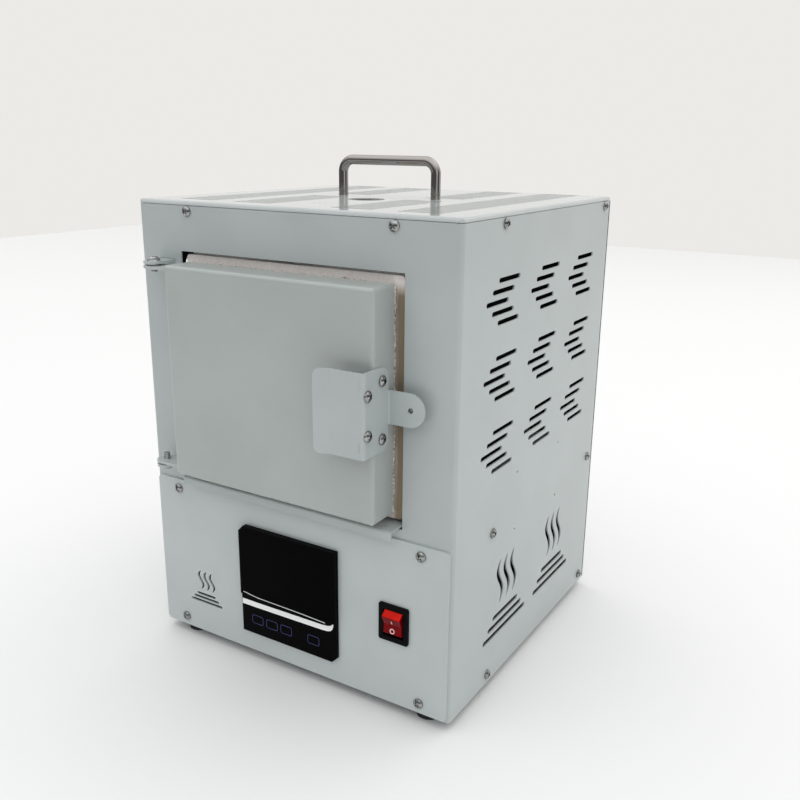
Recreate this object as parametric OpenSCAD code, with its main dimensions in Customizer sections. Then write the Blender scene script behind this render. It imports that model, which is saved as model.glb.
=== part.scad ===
// Bench muffle furnace with a hinged door, a control bay below the muffle and a carry handle.
// Origin: on the floor, under the middle of the casing. Front is -Y, up is +Z.

/* [Casing] */
// Width of the casing front beside the door mouth, each side
jamb_w = 42.3; // [40:0.1:50]
// Height of the casing front above the door mouth
crown_h = 38; // [34:0.5:60]
// Depth of the casing, front face to rear face
case_d = 277; // [272:1:310]
// Thickness of the casing sheet
sheet_t = 1.2; // [1:0.1:1.5]
// Outside radius of the bends in the casing and the door
bend_r = 3; // [2.6:0.1:4]
// Height of the folded flanges that take the casing screws
flange_h = 18; // [16:0.5:20]
// Gap of the seam under the top cover
seam_gap = 0.4; // [0.2:0.1:0.8]

/* [Door mouth] */
// Width of the door mouth in the casing front
mouth_w = 202.4; // [198:0.2:208]
// Height of the door mouth above the sill
mouth_h = 181; // [174:1:186]
// Height of the sill above the casing's lower edge
sill_z = 149; // [147:1:155]
// How far the sill stands out of the casing front
sill_reach = 13.4; // [9:0.2:16]
// Height of the sill's turned-down lip
sill_lip = 6.7; // [5:0.1:9]

/* [Door] */
// Gap all round between the door and the mouth
door_gap = 7.4; // [6:0.1:9]
// Depth of the door pan
door_depth = 25.5; // [22:0.5:30]
// Gap between the door pan and the casing front
door_stand = 1.5; // [1:0.1:3]
// How far the door's fibre board stands out behind the pan
board_proud = 3.5; // [2:0.1:4]

/* [Hinge] */
// Diameter of the hinge screws
pin_d = 5; // [4:0.5:6]
// Distance from the door's side to the hinge axis
pin_reach = 22.4; // [20:0.2:26]
// Thickness of the hinge ears
ear_t = 2; // [1.5:0.1:3]
// Width of the hinge ears
ear_w = 16; // [14:0.5:18]
// Distance of the door's ears from its top and bottom faces
ear_inset = 3; // [2:0.5:6]
// Space between a door ear and a casing ear
ear_gap = 1.5; // [1:0.1:2.5]
// Radial running clearance of the hinge screws
pin_fit = 0.05; // [0.03:0.01:0.1]

/* [Latch] */
// Sheet thickness of the latch
latch_t = 1.5; // [1.2:0.1:2]
// Height of the grip
grip_h = 59.5; // [50:0.5:70]
// Width of the grip's flat
grip_w = 27; // [22:0.5:34]
// Finger gap between the door and the grip
finger_gap = 12; // [10:0.5:16]
// Length of the grip's outward lip
lip_l = 10; // [6:0.5:12]
// Angle of the grip's outward lip
lip_angle = 27; // [15:1:40]
// Height of the tongue
tongue_w = 24; // [18:0.5:30]
// How far the tongue reaches past the flange
tongue_reach = 28; // [24:0.5:32]
// Gap between the casing front and the tongue
tongue_stand = 8; // [6:0.5:10]
// Diameter of the hole in the tongue
tongue_hole_d = 4; // [3.5:0.1:5]

/* [Control panel] */
// Thickness of the control panel
panel_t = 1.5; // [1:0.1:2]
// Margin between the panel and the casing's sides
panel_margin = 2.1; // [1:0.1:4]
// Gap between the sill's lip and the panel
panel_gap = 4; // [2:0.5:6]
// Corner radius of the panel
panel_r = 4; // [2:0.5:6]

/* [Controller] */
// Size of the controller's square bezel
ctrl_size = 96; // [94:1:98]
// Side of the controller's square body
ctrl_body = 91.5; // [88:0.5:91.5]
// Depth of the controller behind the panel
ctrl_depth = 80; // [60:1:90]
// Chamfer on two of the controller's corners
bezel_chamfer = 5; // [3:0.5:8]
// Sideways place of the controller
ctrl_x = -2.5; // [-12:0.5:8]
// Height of the controller's middle above the casing's lower edge
ctrl_z = 67; // [66.5:0.5:70]

/* [Rocker switch] */
// Distance from the casing's side to the switch's middle
rocker_side = 47.2; // [40:0.1:52]
// Height of the switch's middle above the casing's lower edge
rocker_z = 70; // [50:0.5:90]
// Width of the switch frame
rocker_frame_w = 25.4; // [24:0.1:27]
// Height of the switch frame
rocker_frame_h = 30.2; // [29:0.1:32]
// Radius of the rocker about its pivot
rocker_r = 10.6; // [10:0.1:11]
// Tilt of the rocker to each side of the middle
rocker_tilt = 10; // [8:0.5:12]

/* [Vents] */
// Length of one slot in the side chevrons
slot_l = 33.5; // [28:0.5:36]
// Width of the vent slots
slot_w = 3; // [2.5:0.1:4]
// Distance from slot to slot
slot_pitch = 7.45; // [7:0.05:8]
// Setback from each chevron slot to the next
chevron_step = 9.3; // [7:0.1:10]
// Length of the slots in the top cover
top_slot_l = 36; // [30:0.5:38]
// Diameter of the exhaust hole in the top cover
exhaust_d = 30; // [28:0.5:34]

/* [Muffle] */
// Width of the chamber
chamber_w = 104; // [96:1:110]
// Height of the chamber
chamber_h = 100; // [94:1:104]
// Depth of the chamber behind the front collar
chamber_d = 130; // [110:1:135]
// Gap between the muffle and the sides of the mouth
muffle_gap = 2.2; // [1.5:0.1:3]
// How far the muffle's face lies behind the casing front
muffle_recess = 4; // [4:0.1:8]
// Thickness of the front collar
collar_t = 25; // [20:1:30]
// Thickness of the back board
back_t = 45; // [35:1:48]
// Sheet thickness of the muffle case
muffle_sheet_t = 1; // [0.8:0.1:1.2]
// Diameter of the heating elements
element_d = 5; // [4:0.5:6]
// Pitch of the heating element's runs
element_pitch = 15; // [13:0.5:15]
// How far the door plug enters the chamber mouth
plug_depth = 10; // [6:1:14]
// Gap all round the door plug
plug_gap = 4; // [3:0.5:6]

/* [Carry handle] */
// Diameter of the handle's rod
rod_d = 8; // [7:0.5:10]
// Distance between the handle's legs
handle_span = 90; // [80:1:96]
// Height of the handle above the top cover
handle_rise = 33.5; // [30:0.5:45]
// Bend radius at the middle of the rod
handle_bend = 10; // [8:0.5:14]

/* [Feet] */
// Diameter of the feet
foot_d = 20; // [16:1:22]
// Height of the feet
foot_h = 8; // [6:0.5:14]
// Distance from the casing's side to a foot's middle
foot_in_x = 25; // [18:0.5:30]
// Distance from the casing's front or rear to a foot's middle
foot_in_y = 15; // [14:0.5:24]

/* [Screws] */
// Thread diameter of the casing and latch screws
screw_d = 4; // [3:0.5:4]
// Head diameter of the casing and latch screws
screw_head_d = 8; // [7:0.5:9]
// Length of the casing and latch screws
screw_l = 8; // [6:0.5:10]

/* [Hidden] */
$fn = 48;

// Cutting overlap, and the clearance of a screw in its hole
cut = 1;
screw_clear = 0.2;

// Planes of the casing
case_w = mouth_w + 2 * jamb_w;
case_h = sill_z + mouth_h + crown_h;
front_y = -case_d / 2;
rear_y = case_d / 2;
inner_w = case_w - 2 * sheet_t;
inner_d = case_d - 2 * sheet_t;
inner_front = front_y + sheet_t;
inner_rear = rear_y - sheet_t;
inner_r = bend_r - sheet_t;
// Drop of the top cover's edge, and the height of the wrapped sheet below the seam
cover_drop = bend_r + 0.2;
cover_fit = 0.15;
wrap_h = case_h - cover_drop - seam_gap;
// Corners of the folded flanges are notched back by this much
notch = 5;
// Rear ends of the side flanges stop short of the rear panel's own flanges
side_flange_end = inner_rear - flange_h - 1;

// Casing screws
screw_head_h = 0.35 * screw_head_d;
screw_rows_z = [case_h - 7.8, sill_z - 19, 8];
side_screw_y = [front_y + 62, rear_y - 14];
top_screw_x = mouth_w / 2 - 8.5;

// Door mouth and shelf
mouth_drop = 3;
mouth_top = sill_z + mouth_h;
sill_w = mouth_w - 2.4;
sill_bend_r = 1.5 * sheet_t;
sill_hem = 3.2;
shelf_flange = 26;

// Door
door_w = mouth_w - 2 * door_gap;
door_h = mouth_h - 2 * door_gap;
door_z = sill_z + mouth_h / 2;
door_back = front_y - door_stand;
door_face = door_back - door_depth;
door_side = door_w / 2;

// Hinge axis and the heights of the ears
pin_x = -door_side - pin_reach;
pin_y = (door_back + door_face) / 2;
ear_leg = 18;
pin_head_d = 2 * pin_d;
pin_head_h = 0.7 * pin_d;
pin_tail = 3;
// Lower faces of the two door ears and of the two casing ears, upper pair first
door_ear_z = [door_z + door_h / 2 - ear_inset - ear_t, door_z - door_h / 2 + ear_inset];
casing_ear_z = [door_ear_z[0] + ear_t + ear_gap, door_ear_z[1] - ear_gap - ear_t];

// Latch, seen from above
latch_bend = 1;
latch_out = latch_bend + latch_t;
flange_x = door_side + latch_t;
grip_front = door_face - finger_gap - latch_t;
tongue_hole_x = flange_x + tongue_reach - tongue_w / 2 + 1;
latch_corner = 5;
flange_corner = 8;
lip_bend = 4;
// From the grip's face back to the tongue's face, and to the flange's end
tongue_back = door_stand + door_depth + finger_gap - tongue_stand;
flange_l = tongue_back - latch_bend;
// Screws through the flange: into the door's side, and into the stiffener
door_screw_in = 8.4;
door_screw_y = door_face + door_screw_in;
door_screw_back = finger_gap + latch_t + door_screw_in;
door_screw_z = 20.5;
grip_screw_back = 4.5;
grip_screw_z = 13.7;
tab_l = 6;
tab_z = 21.2;
tab_x = -latch_out - 0.5;

// Control panel
panel_w = case_w - 2 * panel_margin;
panel_low = 1.2;
panel_top = sill_z - sill_lip - panel_gap;
panel_h = panel_top - panel_low;
panel_front = front_y - panel_t;
panel_screw_x = panel_w / 2 - 23.2;
panel_screw_z = [panel_low + 8.2, panel_top - 8.2];

// Controller front
bezel_t = 2.5;
bezel_high = 4;
bezel_step = 0.34 * ctrl_size;
window_t = 1;
window_rim = 1.6;

// Rocker switch
rocker_x = case_w / 2 - rocker_side;
rocker_w = 17;
rocker_play = 0.3;
rocker_pin_r = 1.5;
rocker_frame_t = 2;
rocker_rise = 3.5;
rocker_cut_w = rocker_frame_w - 3.4;
rocker_cut_h = rocker_frame_h - 2;
rocker_body_d = 17;
rocker_pivot_y = panel_front + 0.75;

// Window in the casing front behind the control panel
bay_half = panel_screw_x - 8;
bay_low = sheet_t + flange_h + 0.8;
bay_top = sill_z - shelf_flange - 1;

// Side vents
vent_rows_z = [sill_z + 47, sill_z + 102.4, sill_z + 157.8];
vent_cols_y = [front_y + 63.5, 0, rear_y - 63.5];
steam_y = [front_y + 92, rear_y - 88.5];
steam_z = 38;
front_steam_x = -case_w / 2 + 48;
front_steam_z = 29.5;
top_vent_x = [case_w / 2 - 43.5, 45];

// Muffle
dimple_h = 1.5;
muffle_w = mouth_w - 2 * muffle_gap;
muffle_low = sill_z + dimple_h + muffle_sheet_t;
muffle_h = mouth_h - 2 * (dimple_h + muffle_sheet_t);
muffle_z = muffle_low + muffle_h / 2;
muffle_front = front_y + muffle_recess;
chamber_front = muffle_front + collar_t;
chamber_back = chamber_front + chamber_d;
muffle_back = chamber_back + back_t;
side_t = (muffle_w - chamber_w) / 2;
roof_t = (muffle_h - chamber_h) / 2;
case_setback = 12;
// Pocket for the heating element in each side board
pocket_d = 9;
pocket_front = chamber_front + 10;
pocket_back = chamber_back - 6;
element_x = chamber_w / 2 + pocket_d - element_d / 2 - 1;
element_runs = 6;
element_bend = element_pitch / 2;
run_front = pocket_front + element_bend + element_d / 2 + 2;
run_back = pocket_back - element_bend - element_d / 2 - 2;
pocket_h = element_runs * element_pitch - element_pitch + element_d + 4;
element_clear = 0.3;
lead_end = muffle_back + muffle_sheet_t + 24;
// Thermocouple and exhaust
probe_d = 6;
probe_z = muffle_z + 0.3 * chamber_h;
exhaust_y = front_y + 105.5;
tube_r = exhaust_d / 2 - 2;
tube_bore = tube_r - 4;

// Carry handle
leg_x = handle_span / 2;
bar_z = case_h + handle_rise - rod_d / 2;

// Feet
foot_x = case_w / 2 - foot_in_x;
foot_y = case_d / 2 - foot_in_y;

// Mains inlet on the rear
inlet_x = case_w / 2 - 63.5;
inlet_z = 42;
inlet_w = 24.4;
inlet_h = 16.6;
inlet_flange_w = 50;
inlet_flange_h = 24;
inlet_screw_x = 20;

// Heat sink with the relay on it, and the terminal block, all on the base tray
sink_x = case_w / 2 - 98.5;
sink_l = 80;
sink_h = 30;
sink_plate_t = 6;
fin_n = 10;
fin_t = 1.8;
fin_pitch = 5.2;
sink_w = (fin_n - 1) * fin_pitch + fin_t;
relay_w = 44;
relay_l = 58;
relay_h = 24;
terminal_x = -case_w / 2 + 68.5;
terminal_y = 60;
terminal_w = 22;
terminal_h = 18;
terminal_n = 5;
terminal_pitch = 12;

// Colours
paint = [0.66, 0.70, 0.69];
galvanised = [0.62, 0.64, 0.66];
zinc = [0.78, 0.79, 0.80];
fibre = [0.93, 0.91, 0.88];
black = [0.06, 0.06, 0.07];
brass = [0.80, 0.66, 0.32];

// ---------- shared shapes ----------

module raised() {
    translate([0, 0, foot_h]) children();
}

// Rectangle with rounded corners, centred
module rounded_rect(w, h, r) {
    square([w - 2 * r, h], center = true);
    square([w, h - 2 * r], center = true);
    for (sx = [-1, 1], sy = [-1, 1])
        translate([sx * (w / 2 - r), sy * (h / 2 - r)]) circle(r = r);
}

// Rectangle that stands on y = 0, with its two upper corners rounded
module round_top_rect(w, h, r) {
    translate([-w / 2, 0]) square([w, h - r]);
    translate([-w / 2 + r, 0]) square([w - 2 * r, h]);
    for (s = [-1, 1]) translate([s * (w / 2 - r), h - r]) circle(r = r);
}

// Block with round upright corners and a round upper rim
module round_top_block(w, d, h, r) {
    intersection() {
        linear_extrude(h) rounded_rect(w, d, r);
        rotate([90, 0, 0]) linear_extrude(d + 2 * cut, center = true) round_top_rect(w, h, r);
        rotate([90, 0, 90]) linear_extrude(w + 2 * cut, center = true) round_top_rect(d, h, r);
    }
}

// Folded pan with its open side down
module round_top_pan(w, d, h, r, t) {
    difference() {
        round_top_block(w, d, h, r);
        translate([0, 0, -cut])
            round_top_block(w - 2 * t, d - 2 * t, h - t + cut, r - t);
    }
}

// Slot outline with round ends along x
module slot(l, w) {
    square([l - w, w], center = true);
    for (s = [-1, 1]) translate([s * (l - w) / 2, 0]) circle(d = w);
}

// Quarter of a bent sheet's section, in the first quadrant
module quarter_bend(r_out, t) {
    intersection() {
        difference() {
            circle(r = r_out);
            circle(r = r_out - t);
        }
        square(r_out);
    }
}

// Pan head screw: head above z = 0, shank below, cross recess in the head
module pan_screw(d, head_d, head_h, length) {
    rim = 0.4 * head_h;
    dome = head_h - rim;
    dome_r = (head_d * head_d / 4 + dome * dome) / (2 * dome);
    difference() {
        union() {
            intersection() {
                cylinder(d = head_d, h = head_h);
                translate([0, 0, head_h - dome_r]) sphere(r = dome_r);
            }
            translate([0, 0, -length]) cylinder(d = d, h = length + rim / 2);
        }
        for (a = [45, 135]) rotate([0, 0, a])
            translate([0, 0, head_h])
                cube([0.56 * head_d, 0.14 * head_d, head_h], center = true);
    }
}

module casing_screw() {
    pan_screw(screw_d, screw_head_d, screw_head_h, screw_l);
}

// Point a screw's head out of the front, the rear or a side
module face_front() {
    rotate([90, 0, 0]) children();
}
module face_rear() {
    rotate([-90, 0, 0]) children();
}
module face_side(s) {
    rotate([0, 90 * s, 0]) children();
}

// Clearance hole for a casing screw, along the screw's own axis
module screw_hole() {
    cylinder(d = screw_d + 2 * screw_clear, h = 30, center = true);
}

// Outline of one wavy steam line, standing on y = 0, with pointed ends
function wave_side(h, bulge, w, s, n) = [
    for (i = [0:n]) let (t = i / n)
        [-bulge * sin(360 * t) + s * w / 2 * sqrt(sin(180 * t)), h * t]
];
module steam_wave(h, bulge, w) {
    n = 14;
    left = wave_side(h, bulge, w, -1, n);
    right = wave_side(h, bulge, w, 1, n);
    polygon(concat([for (i = [0:n]) right[i]], [for (i = [1:n - 1]) left[n - i]]));
}

// Three slots that narrow upwards under three wavy lines; standing on y = 0
module steam_sign(base_w, line_w, pitch, wave_h, wave_pitch, wave_w) {
    for (i = [0:2]) translate([0, i * pitch]) slot(base_w * (1 - 0.21 * i), line_w);
    for (i = [-1:1]) translate([i * wave_pitch, 3.3 * pitch])
        steam_wave(wave_h, wave_pitch * 0.26, wave_w);
}

// Five slots in a chevron that points to -x, centred
module chevron() {
    for (k = [-2:2])
        translate([(abs(k) - 1) * chevron_step, k * slot_pitch]) slot(slot_l, slot_w);
}

// ---------- casing ----------

module wrap_outline() {
    difference() {
        rounded_rect(case_w, case_d, bend_r);
        rounded_rect(inner_w, inner_d, inner_r);
        translate([0, rear_y]) square([case_w + 2 * cut, 2 * sheet_t], center = true);
        translate([0, inner_rear - bend_r / 2])
            square([inner_w, bend_r + 2 * cut], center = true);
    }
}

module side_vents() {
    for (y = vent_cols_y, z = vent_rows_z) translate([y, z]) chevron();
    for (y = steam_y) translate([y, steam_z]) steam_sign(77, slot_w, 7.5, 38, 12.3, slot_w);
    for (dy = [-42, 42], z = [118, 166.5]) translate([6 + dy, z]) circle(d = 2);
}

module casing_wrap() {
    color(paint) raised() difference() {
        linear_extrude(wrap_h) wrap_outline();
        translate([-mouth_w / 2, front_y - cut, sill_z - mouth_drop])
            cube([mouth_w, 10, mouth_h + mouth_drop]);
        translate([-bay_half, front_y - cut, bay_low])
            cube([2 * bay_half, 10, bay_top - bay_low]);
        for (s = [-1, 1]) translate([s * (case_w - sheet_t) / 2, 0, 0])
            rotate([90, 0, 90]) linear_extrude(4 * sheet_t, center = true) side_vents();
        for (z = casing_ear_z)
            translate([pin_x - ear_w / 2 - 0.2, front_y - cut, z - 0.2])
                cube([ear_w + 0.4, 10, ear_t + 0.4]);
        for (s = [-1, 1]) {
            translate([s * top_screw_x, front_y, screw_rows_z[0]]) face_front() screw_hole();
            for (z = panel_screw_z)
                translate([s * panel_screw_x, front_y, z]) face_front() screw_hole();
            for (y = side_screw_y, z = screw_rows_z)
                translate([s * case_w / 2, y, z]) face_side(s)
                    cylinder(d = screw_d + 2 * screw_clear, h = 4 * sheet_t, center = true);
        }
        translate([tongue_hole_x, front_y, door_z]) face_front() screw_hole();
    }
}

module top_vents() {
    rows = floor((case_d - 29) / slot_pitch);
    first = front_y + 20.5;
    for (s = [-1, 1], x = top_vent_x, i = [0:rows]) {
        y = first + i * slot_pitch;
        near_leg = abs(x - leg_x) < 25 && abs(y) < 14;
        if (!near_leg) translate([s * x, y]) slot(top_slot_l, slot_w);
    }
    translate([0, exhaust_y]) circle(d = exhaust_d);
    for (x = [-8, -3, 2]) translate([x, exhaust_y - 58]) circle(d = 2);
}

module top_cover() {
    flange_low = case_h - sheet_t - flange_h;
    pan_h = 3 * bend_r;
    color(paint) raised() difference() {
        union() {
            difference() {
                translate([0, 0, case_h - pan_h])
                    round_top_pan(case_w, case_d, pan_h, bend_r, sheet_t);
                translate([-case_w, -case_d, case_h - cover_drop - pan_h])
                    cube([2 * case_w, 2 * case_d, pan_h]);
            }
            for (s = [-1, 1]) {
                translate([-inner_w / 2 + notch, s * (inner_d / 2 - cover_fit) - (s + 1) * sheet_t / 2, flange_low])
                    cube([inner_w - 2 * notch, sheet_t, flange_h + sheet_t / 2]);
                translate([s * (inner_w / 2 - cover_fit) - (s + 1) * sheet_t / 2, inner_front + notch, flange_low])
                    cube([sheet_t, side_flange_end - inner_front - notch, flange_h + sheet_t / 2]);
            }
        }
        translate([0, 0, case_h - 2 * sheet_t]) linear_extrude(4 * sheet_t) top_vents();
        for (sx = [-1, 1]) {
            for (y = [front_y, rear_y])
                translate([sx * top_screw_x, y, screw_rows_z[0]]) face_front() screw_hole();
            translate([sx * case_w / 2, side_screw_y[0], screw_rows_z[0]])
                face_side(sx) screw_hole();
            translate([sx * leg_x, 0, case_h]) screw_hole();
        }
    }
}

module base_tray() {
    color(galvanised) raised() difference() {
        union() {
            linear_extrude(sheet_t) rounded_rect(inner_w, inner_d, inner_r);
            for (s = [-1, 1]) {
                translate([-inner_w / 2 + notch, s * (inner_d - sheet_t) / 2 - sheet_t / 2, 0])
                    cube([inner_w - 2 * notch, sheet_t, flange_h + sheet_t]);
                translate([s * (inner_w - sheet_t) / 2 - sheet_t / 2, inner_front + notch, 0])
                    cube([sheet_t, side_flange_end - inner_front - notch, flange_h + sheet_t]);
            }
        }
        for (sx = [-1, 1]) {
            for (sy = [-1, 1]) translate([sx * foot_x, sy * foot_y, 0]) screw_hole();
            translate([sx * panel_screw_x, front_y, panel_screw_z[0]]) face_front() screw_hole();
            translate([sx * top_screw_x, rear_y, screw_rows_z[2]]) face_front() screw_hole();
            translate([sx * case_w / 2, side_screw_y[0], screw_rows_z[2]])
                face_side(sx) screw_hole();
        }
        for (x = [-60, 60], i = [-3:3])
            translate([x, i * 2 * slot_pitch, 0])
                linear_extrude(4 * sheet_t, center = true) slot(top_slot_l, slot_w);
    }
}

module rear_panel() {
    color(paint) raised() difference() {
        union() {
            translate([0, rear_y - sheet_t / 2, 0])
                translate([-case_w / 2, -sheet_t / 2, 0]) cube([case_w, sheet_t, wrap_h]);
            for (s = [-1, 1])
                translate([s * (inner_w - sheet_t) / 2 - sheet_t / 2, inner_rear - flange_h, sheet_t])
                    cube([sheet_t, flange_h + sheet_t / 2, wrap_h - 3 * sheet_t - bend_r]);
        }
        for (sx = [-1, 1]) {
            for (z = [screw_rows_z[0], screw_rows_z[2]])
                translate([sx * top_screw_x, rear_y, z]) face_front() screw_hole();
            for (z = screw_rows_z)
                translate([sx * case_w / 2, side_screw_y[1], z]) face_side(sx) screw_hole();
        }
        for (x = [-62, 62], i = [0:9])
            translate([x, rear_y, sill_z + 60 + i * 2 * slot_pitch]) rotate([90, 0, 0])
                linear_extrude(4 * sheet_t, center = true) slot(2 * top_slot_l, slot_w);
        translate([inlet_x, rear_y, inlet_z]) rotate([90, 0, 0])
            linear_extrude(4 * sheet_t, center = true) square([inlet_w + 4, inlet_h + 4], center = true);
        for (s = [-1, 1]) translate([inlet_x + s * inlet_screw_x, rear_y, inlet_z]) face_front()
            cylinder(d = 3.6, h = 4 * sheet_t, center = true);
    }
}

// Shelf under the muffle; its front end passes the mouth and forms the sill
module muffle_shelf() {
    lip_y = front_y - sill_reach;
    color(paint) raised() difference() {
        union() {
            translate([-inner_w / 2 + notch, inner_front, sill_z - sheet_t])
                cube([inner_w - 2 * notch, side_flange_end - inner_front, sheet_t]);
            translate([-inner_w / 2, inner_front + notch, sill_z - sheet_t])
                cube([inner_w, side_flange_end - inner_front - notch, sheet_t]);
            translate([-sill_w / 2, lip_y + sill_bend_r, sill_z - sheet_t])
                cube([sill_w, sill_reach + sheet_t - sill_bend_r + cut, sheet_t]);
            translate([-sill_w / 2, lip_y + sill_bend_r, sill_z - sill_bend_r])
                rotate([0, 90, 0]) rotate([0, 0, 180])
                    linear_extrude(sill_w) quarter_bend(sill_bend_r, sheet_t);
            translate([-sill_w / 2, lip_y, sill_z - sill_lip])
                cube([sill_w, sheet_t, sill_lip - sill_bend_r]);
            translate([-sill_w / 2, lip_y, sill_z - sill_lip])
                cube([sill_w, sill_hem, sheet_t]);
            for (s = [-1, 1]) {
                translate([s * (inner_w - sheet_t) / 2 - sheet_t / 2, inner_front + notch, sill_z - shelf_flange])
                    cube([sheet_t, side_flange_end - inner_front - notch, shelf_flange]);
                translate([s * (mouth_w / 4 + inner_w / 4) - flange_run() / 2, inner_front, sill_z - shelf_flange])
                    cube([flange_run(), sheet_t, shelf_flange]);
            }
        }
        for (s = [-1, 1]) {
            translate([s * panel_screw_x, front_y, panel_screw_z[1]]) face_front() screw_hole();
            translate([s * case_w / 2, side_screw_y[0], screw_rows_z[1]])
                face_side(s) screw_hole();
            translate([s * (muffle_w / 2 - 14), side_flange_end - 16, sill_z])
                cylinder(d = 16, h = 10, center = true);
        }
    }
}
// Length of the shelf's front flange on each side of the mouth
function flange_run() = inner_w / 2 - mouth_w / 2 - 2 * notch;

// ---------- muffle ----------

module muffle_case() {
    front = muffle_front + case_setback;
    depth = muffle_back - front;
    color(galvanised) raised() difference() {
        union() {
            translate([-muffle_w / 2 - muffle_sheet_t, front, muffle_low - muffle_sheet_t])
                cube([muffle_w + 2 * muffle_sheet_t, depth + muffle_sheet_t, muffle_h + muffle_sheet_t]);
            for (sx = [-1, 1], y = [front + 20, muffle_back - 20])
                translate([sx * (muffle_w / 2 - 25), y, sill_z])
                    cylinder(d = 12, h = dimple_h + muffle_sheet_t / 2);
        }
        translate([-muffle_w / 2, front - cut, muffle_low])
            cube([muffle_w, depth + cut, muffle_h + cut]);
        for (s = [-1, 1], t = [-1, 1])
            translate([s * element_x, muffle_back, muffle_z + t * element_top()]) face_front()
                cylinder(r = 5.2, h = 10, center = true);
        translate([0, muffle_back, probe_z]) face_front()
            cylinder(r = probe_d / 2 + 0.5, h = 10, center = true);
    }
}

module muffle_lid() {
    front = muffle_front + case_setback;
    depth = muffle_back + muffle_sheet_t - front;
    outer = muffle_w + 4 * muffle_sheet_t;
    color(galvanised) raised() difference() {
        translate([-outer / 2, front, muffle_low + muffle_h - case_setback])
            cube([outer, depth, case_setback + muffle_sheet_t]);
        translate([-muffle_w / 2 - muffle_sheet_t, front - cut, muffle_low + muffle_h - case_setback - cut])
            cube([muffle_w + 2 * muffle_sheet_t, depth + 2 * cut, case_setback + cut]);
        translate([0, exhaust_y, muffle_low + muffle_h])
            cylinder(r = tube_r + 0.5, h = 10, center = true);
    }
}

module front_collar() {
    color(fibre) raised() translate([0, chamber_front, muffle_z]) rotate([90, 0, 0])
        linear_extrude(collar_t) difference() {
            rounded_rect(muffle_w, muffle_h, 3);
            rounded_rect(chamber_w, chamber_h, 4);
        }
}

module floor_board() {
    color(fibre) raised() translate([-muffle_w / 2, chamber_front, muffle_low])
        cube([muffle_w, chamber_d, roof_t]);
}

module roof_board() {
    color(fibre) raised() difference() {
        translate([-muffle_w / 2, chamber_front, muffle_low + muffle_h - roof_t])
            cube([muffle_w, chamber_d, roof_t]);
        translate([0, exhaust_y, muffle_low + muffle_h - roof_t / 2])
            cylinder(r = tube_r + element_clear, h = roof_t + 2 * cut, center = true);
    }
}

// Height of the outermost element run above the middle
function element_top() = (element_runs - 1) / 2 * element_pitch;

// Side board with a pocket for the element and ribs between its runs; s is -1 left, 1 right
module side_board(s) {
    pocket_x = s * (chamber_w / 2 + pocket_d / 2);
    color(fibre) raised() difference() {
        translate([s * (chamber_w + side_t) / 2, (chamber_front + chamber_back) / 2, muffle_z])
            cube([side_t, chamber_d, chamber_h], center = true);
        difference() {
            translate([pocket_x - s * cut, (pocket_front + pocket_back) / 2, muffle_z])
                cube([pocket_d + 2 * cut, pocket_back - pocket_front, pocket_h], center = true);
            for (i = [1:element_runs - 1])
                translate([pocket_x, (run_front + run_back) / 2, muffle_z - element_top() + (i - 0.5) * element_pitch])
                    cube([pocket_d + 6 * cut, run_back - run_front, element_pitch - element_d - 3], center = true);
        }
        for (t = [-1, 1])
            translate([s * element_x, chamber_back, muffle_z + t * element_top()]) face_front()
                cylinder(d = element_d + 2 * element_clear, h = 30, center = true);
    }
}

module left_board() {
    side_board(-1);
}

module right_board() {
    side_board(1);
}

module back_board() {
    color(fibre) raised() difference() {
        translate([-muffle_w / 2, chamber_back, muffle_low]) cube([muffle_w, back_t, muffle_h]);
        for (s = [-1, 1], t = [-1, 1])
            translate([s * element_x, chamber_back + back_t / 2, muffle_z + t * element_top()])
                face_front()
                    cylinder(d = element_d + 2 * element_clear, h = back_t + 2 * cut, center = true);
        translate([0, chamber_back + back_t / 2, probe_z]) face_front()
            cylinder(r = probe_d / 2 + element_clear, h = back_t + 2 * cut, center = true);
    }
}

module hearth_plate() {
    color([0.82, 0.76, 0.68]) raised()
        translate([0, (chamber_front + chamber_back) / 2, muffle_z - chamber_h / 2])
            linear_extrude(6) rounded_rect(chamber_w - 4, chamber_d - 4, 2);
}

// One serpentine of element_runs runs, both ends leaving through the back
module serpentine() {
    for (i = [0:element_runs - 1]) {
        last = i == 0 || i == element_runs - 1;
        back = last ? lead_end : run_back;
        translate([0, run_front, i * element_pitch - element_top()])
            face_rear() cylinder(d = element_d, h = back - run_front);
    }
    for (i = [0:element_runs - 2]) {
        at_front = i % 2 == 0;
        translate([0, at_front ? run_front : run_back, (i + 0.5) * element_pitch - element_top()])
            rotate([0, 90, 0]) rotate([0, 0, at_front ? 180 : 0])
                rotate_extrude(angle = 180) translate([element_bend, 0]) circle(d = element_d);
    }
}

module heating_elements() {
    color([0.36, 0.34, 0.33]) raised()
        for (s = [-1, 1]) translate([s * element_x, 0, muffle_z]) serpentine();
}

module at_leads() {
    for (s = [-1, 1], t = [-1, 1])
        translate([s * element_x, muffle_back, muffle_z + t * element_top()]) face_rear() children();
}

module element_bushes() {
    color([0.95, 0.93, 0.88]) raised() at_leads()
        difference() {
            union() {
                cylinder(r = 5, h = 10);
                translate([0, 0, muffle_sheet_t]) cylinder(r = 8, h = 4);
            }
            translate([0, 0, -cut]) cylinder(d = element_d + 2 * element_clear, h = 12);
        }
}

module element_clamps() {
    color(brass) raised() at_leads()
        translate([0, 0, muffle_sheet_t + 11]) difference() {
            union() {
                cylinder(r = element_d / 2 + 2.5, h = 10);
                translate([0, 0, 5]) rotate([0, 90, 0]) cylinder(d = 3, h = element_d / 2 + 5);
            }
            translate([0, 0, -cut]) cylinder(d = element_d, h = 12);
        }
}

module thermocouple_sheath() {
    color([0.92, 0.88, 0.80]) raised()
        translate([0, chamber_back - 22, probe_z]) face_rear() {
            cylinder(d = probe_d, h = back_t + 22 + muffle_sheet_t + 8);
            sphere(d = probe_d);
        }
}

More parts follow.
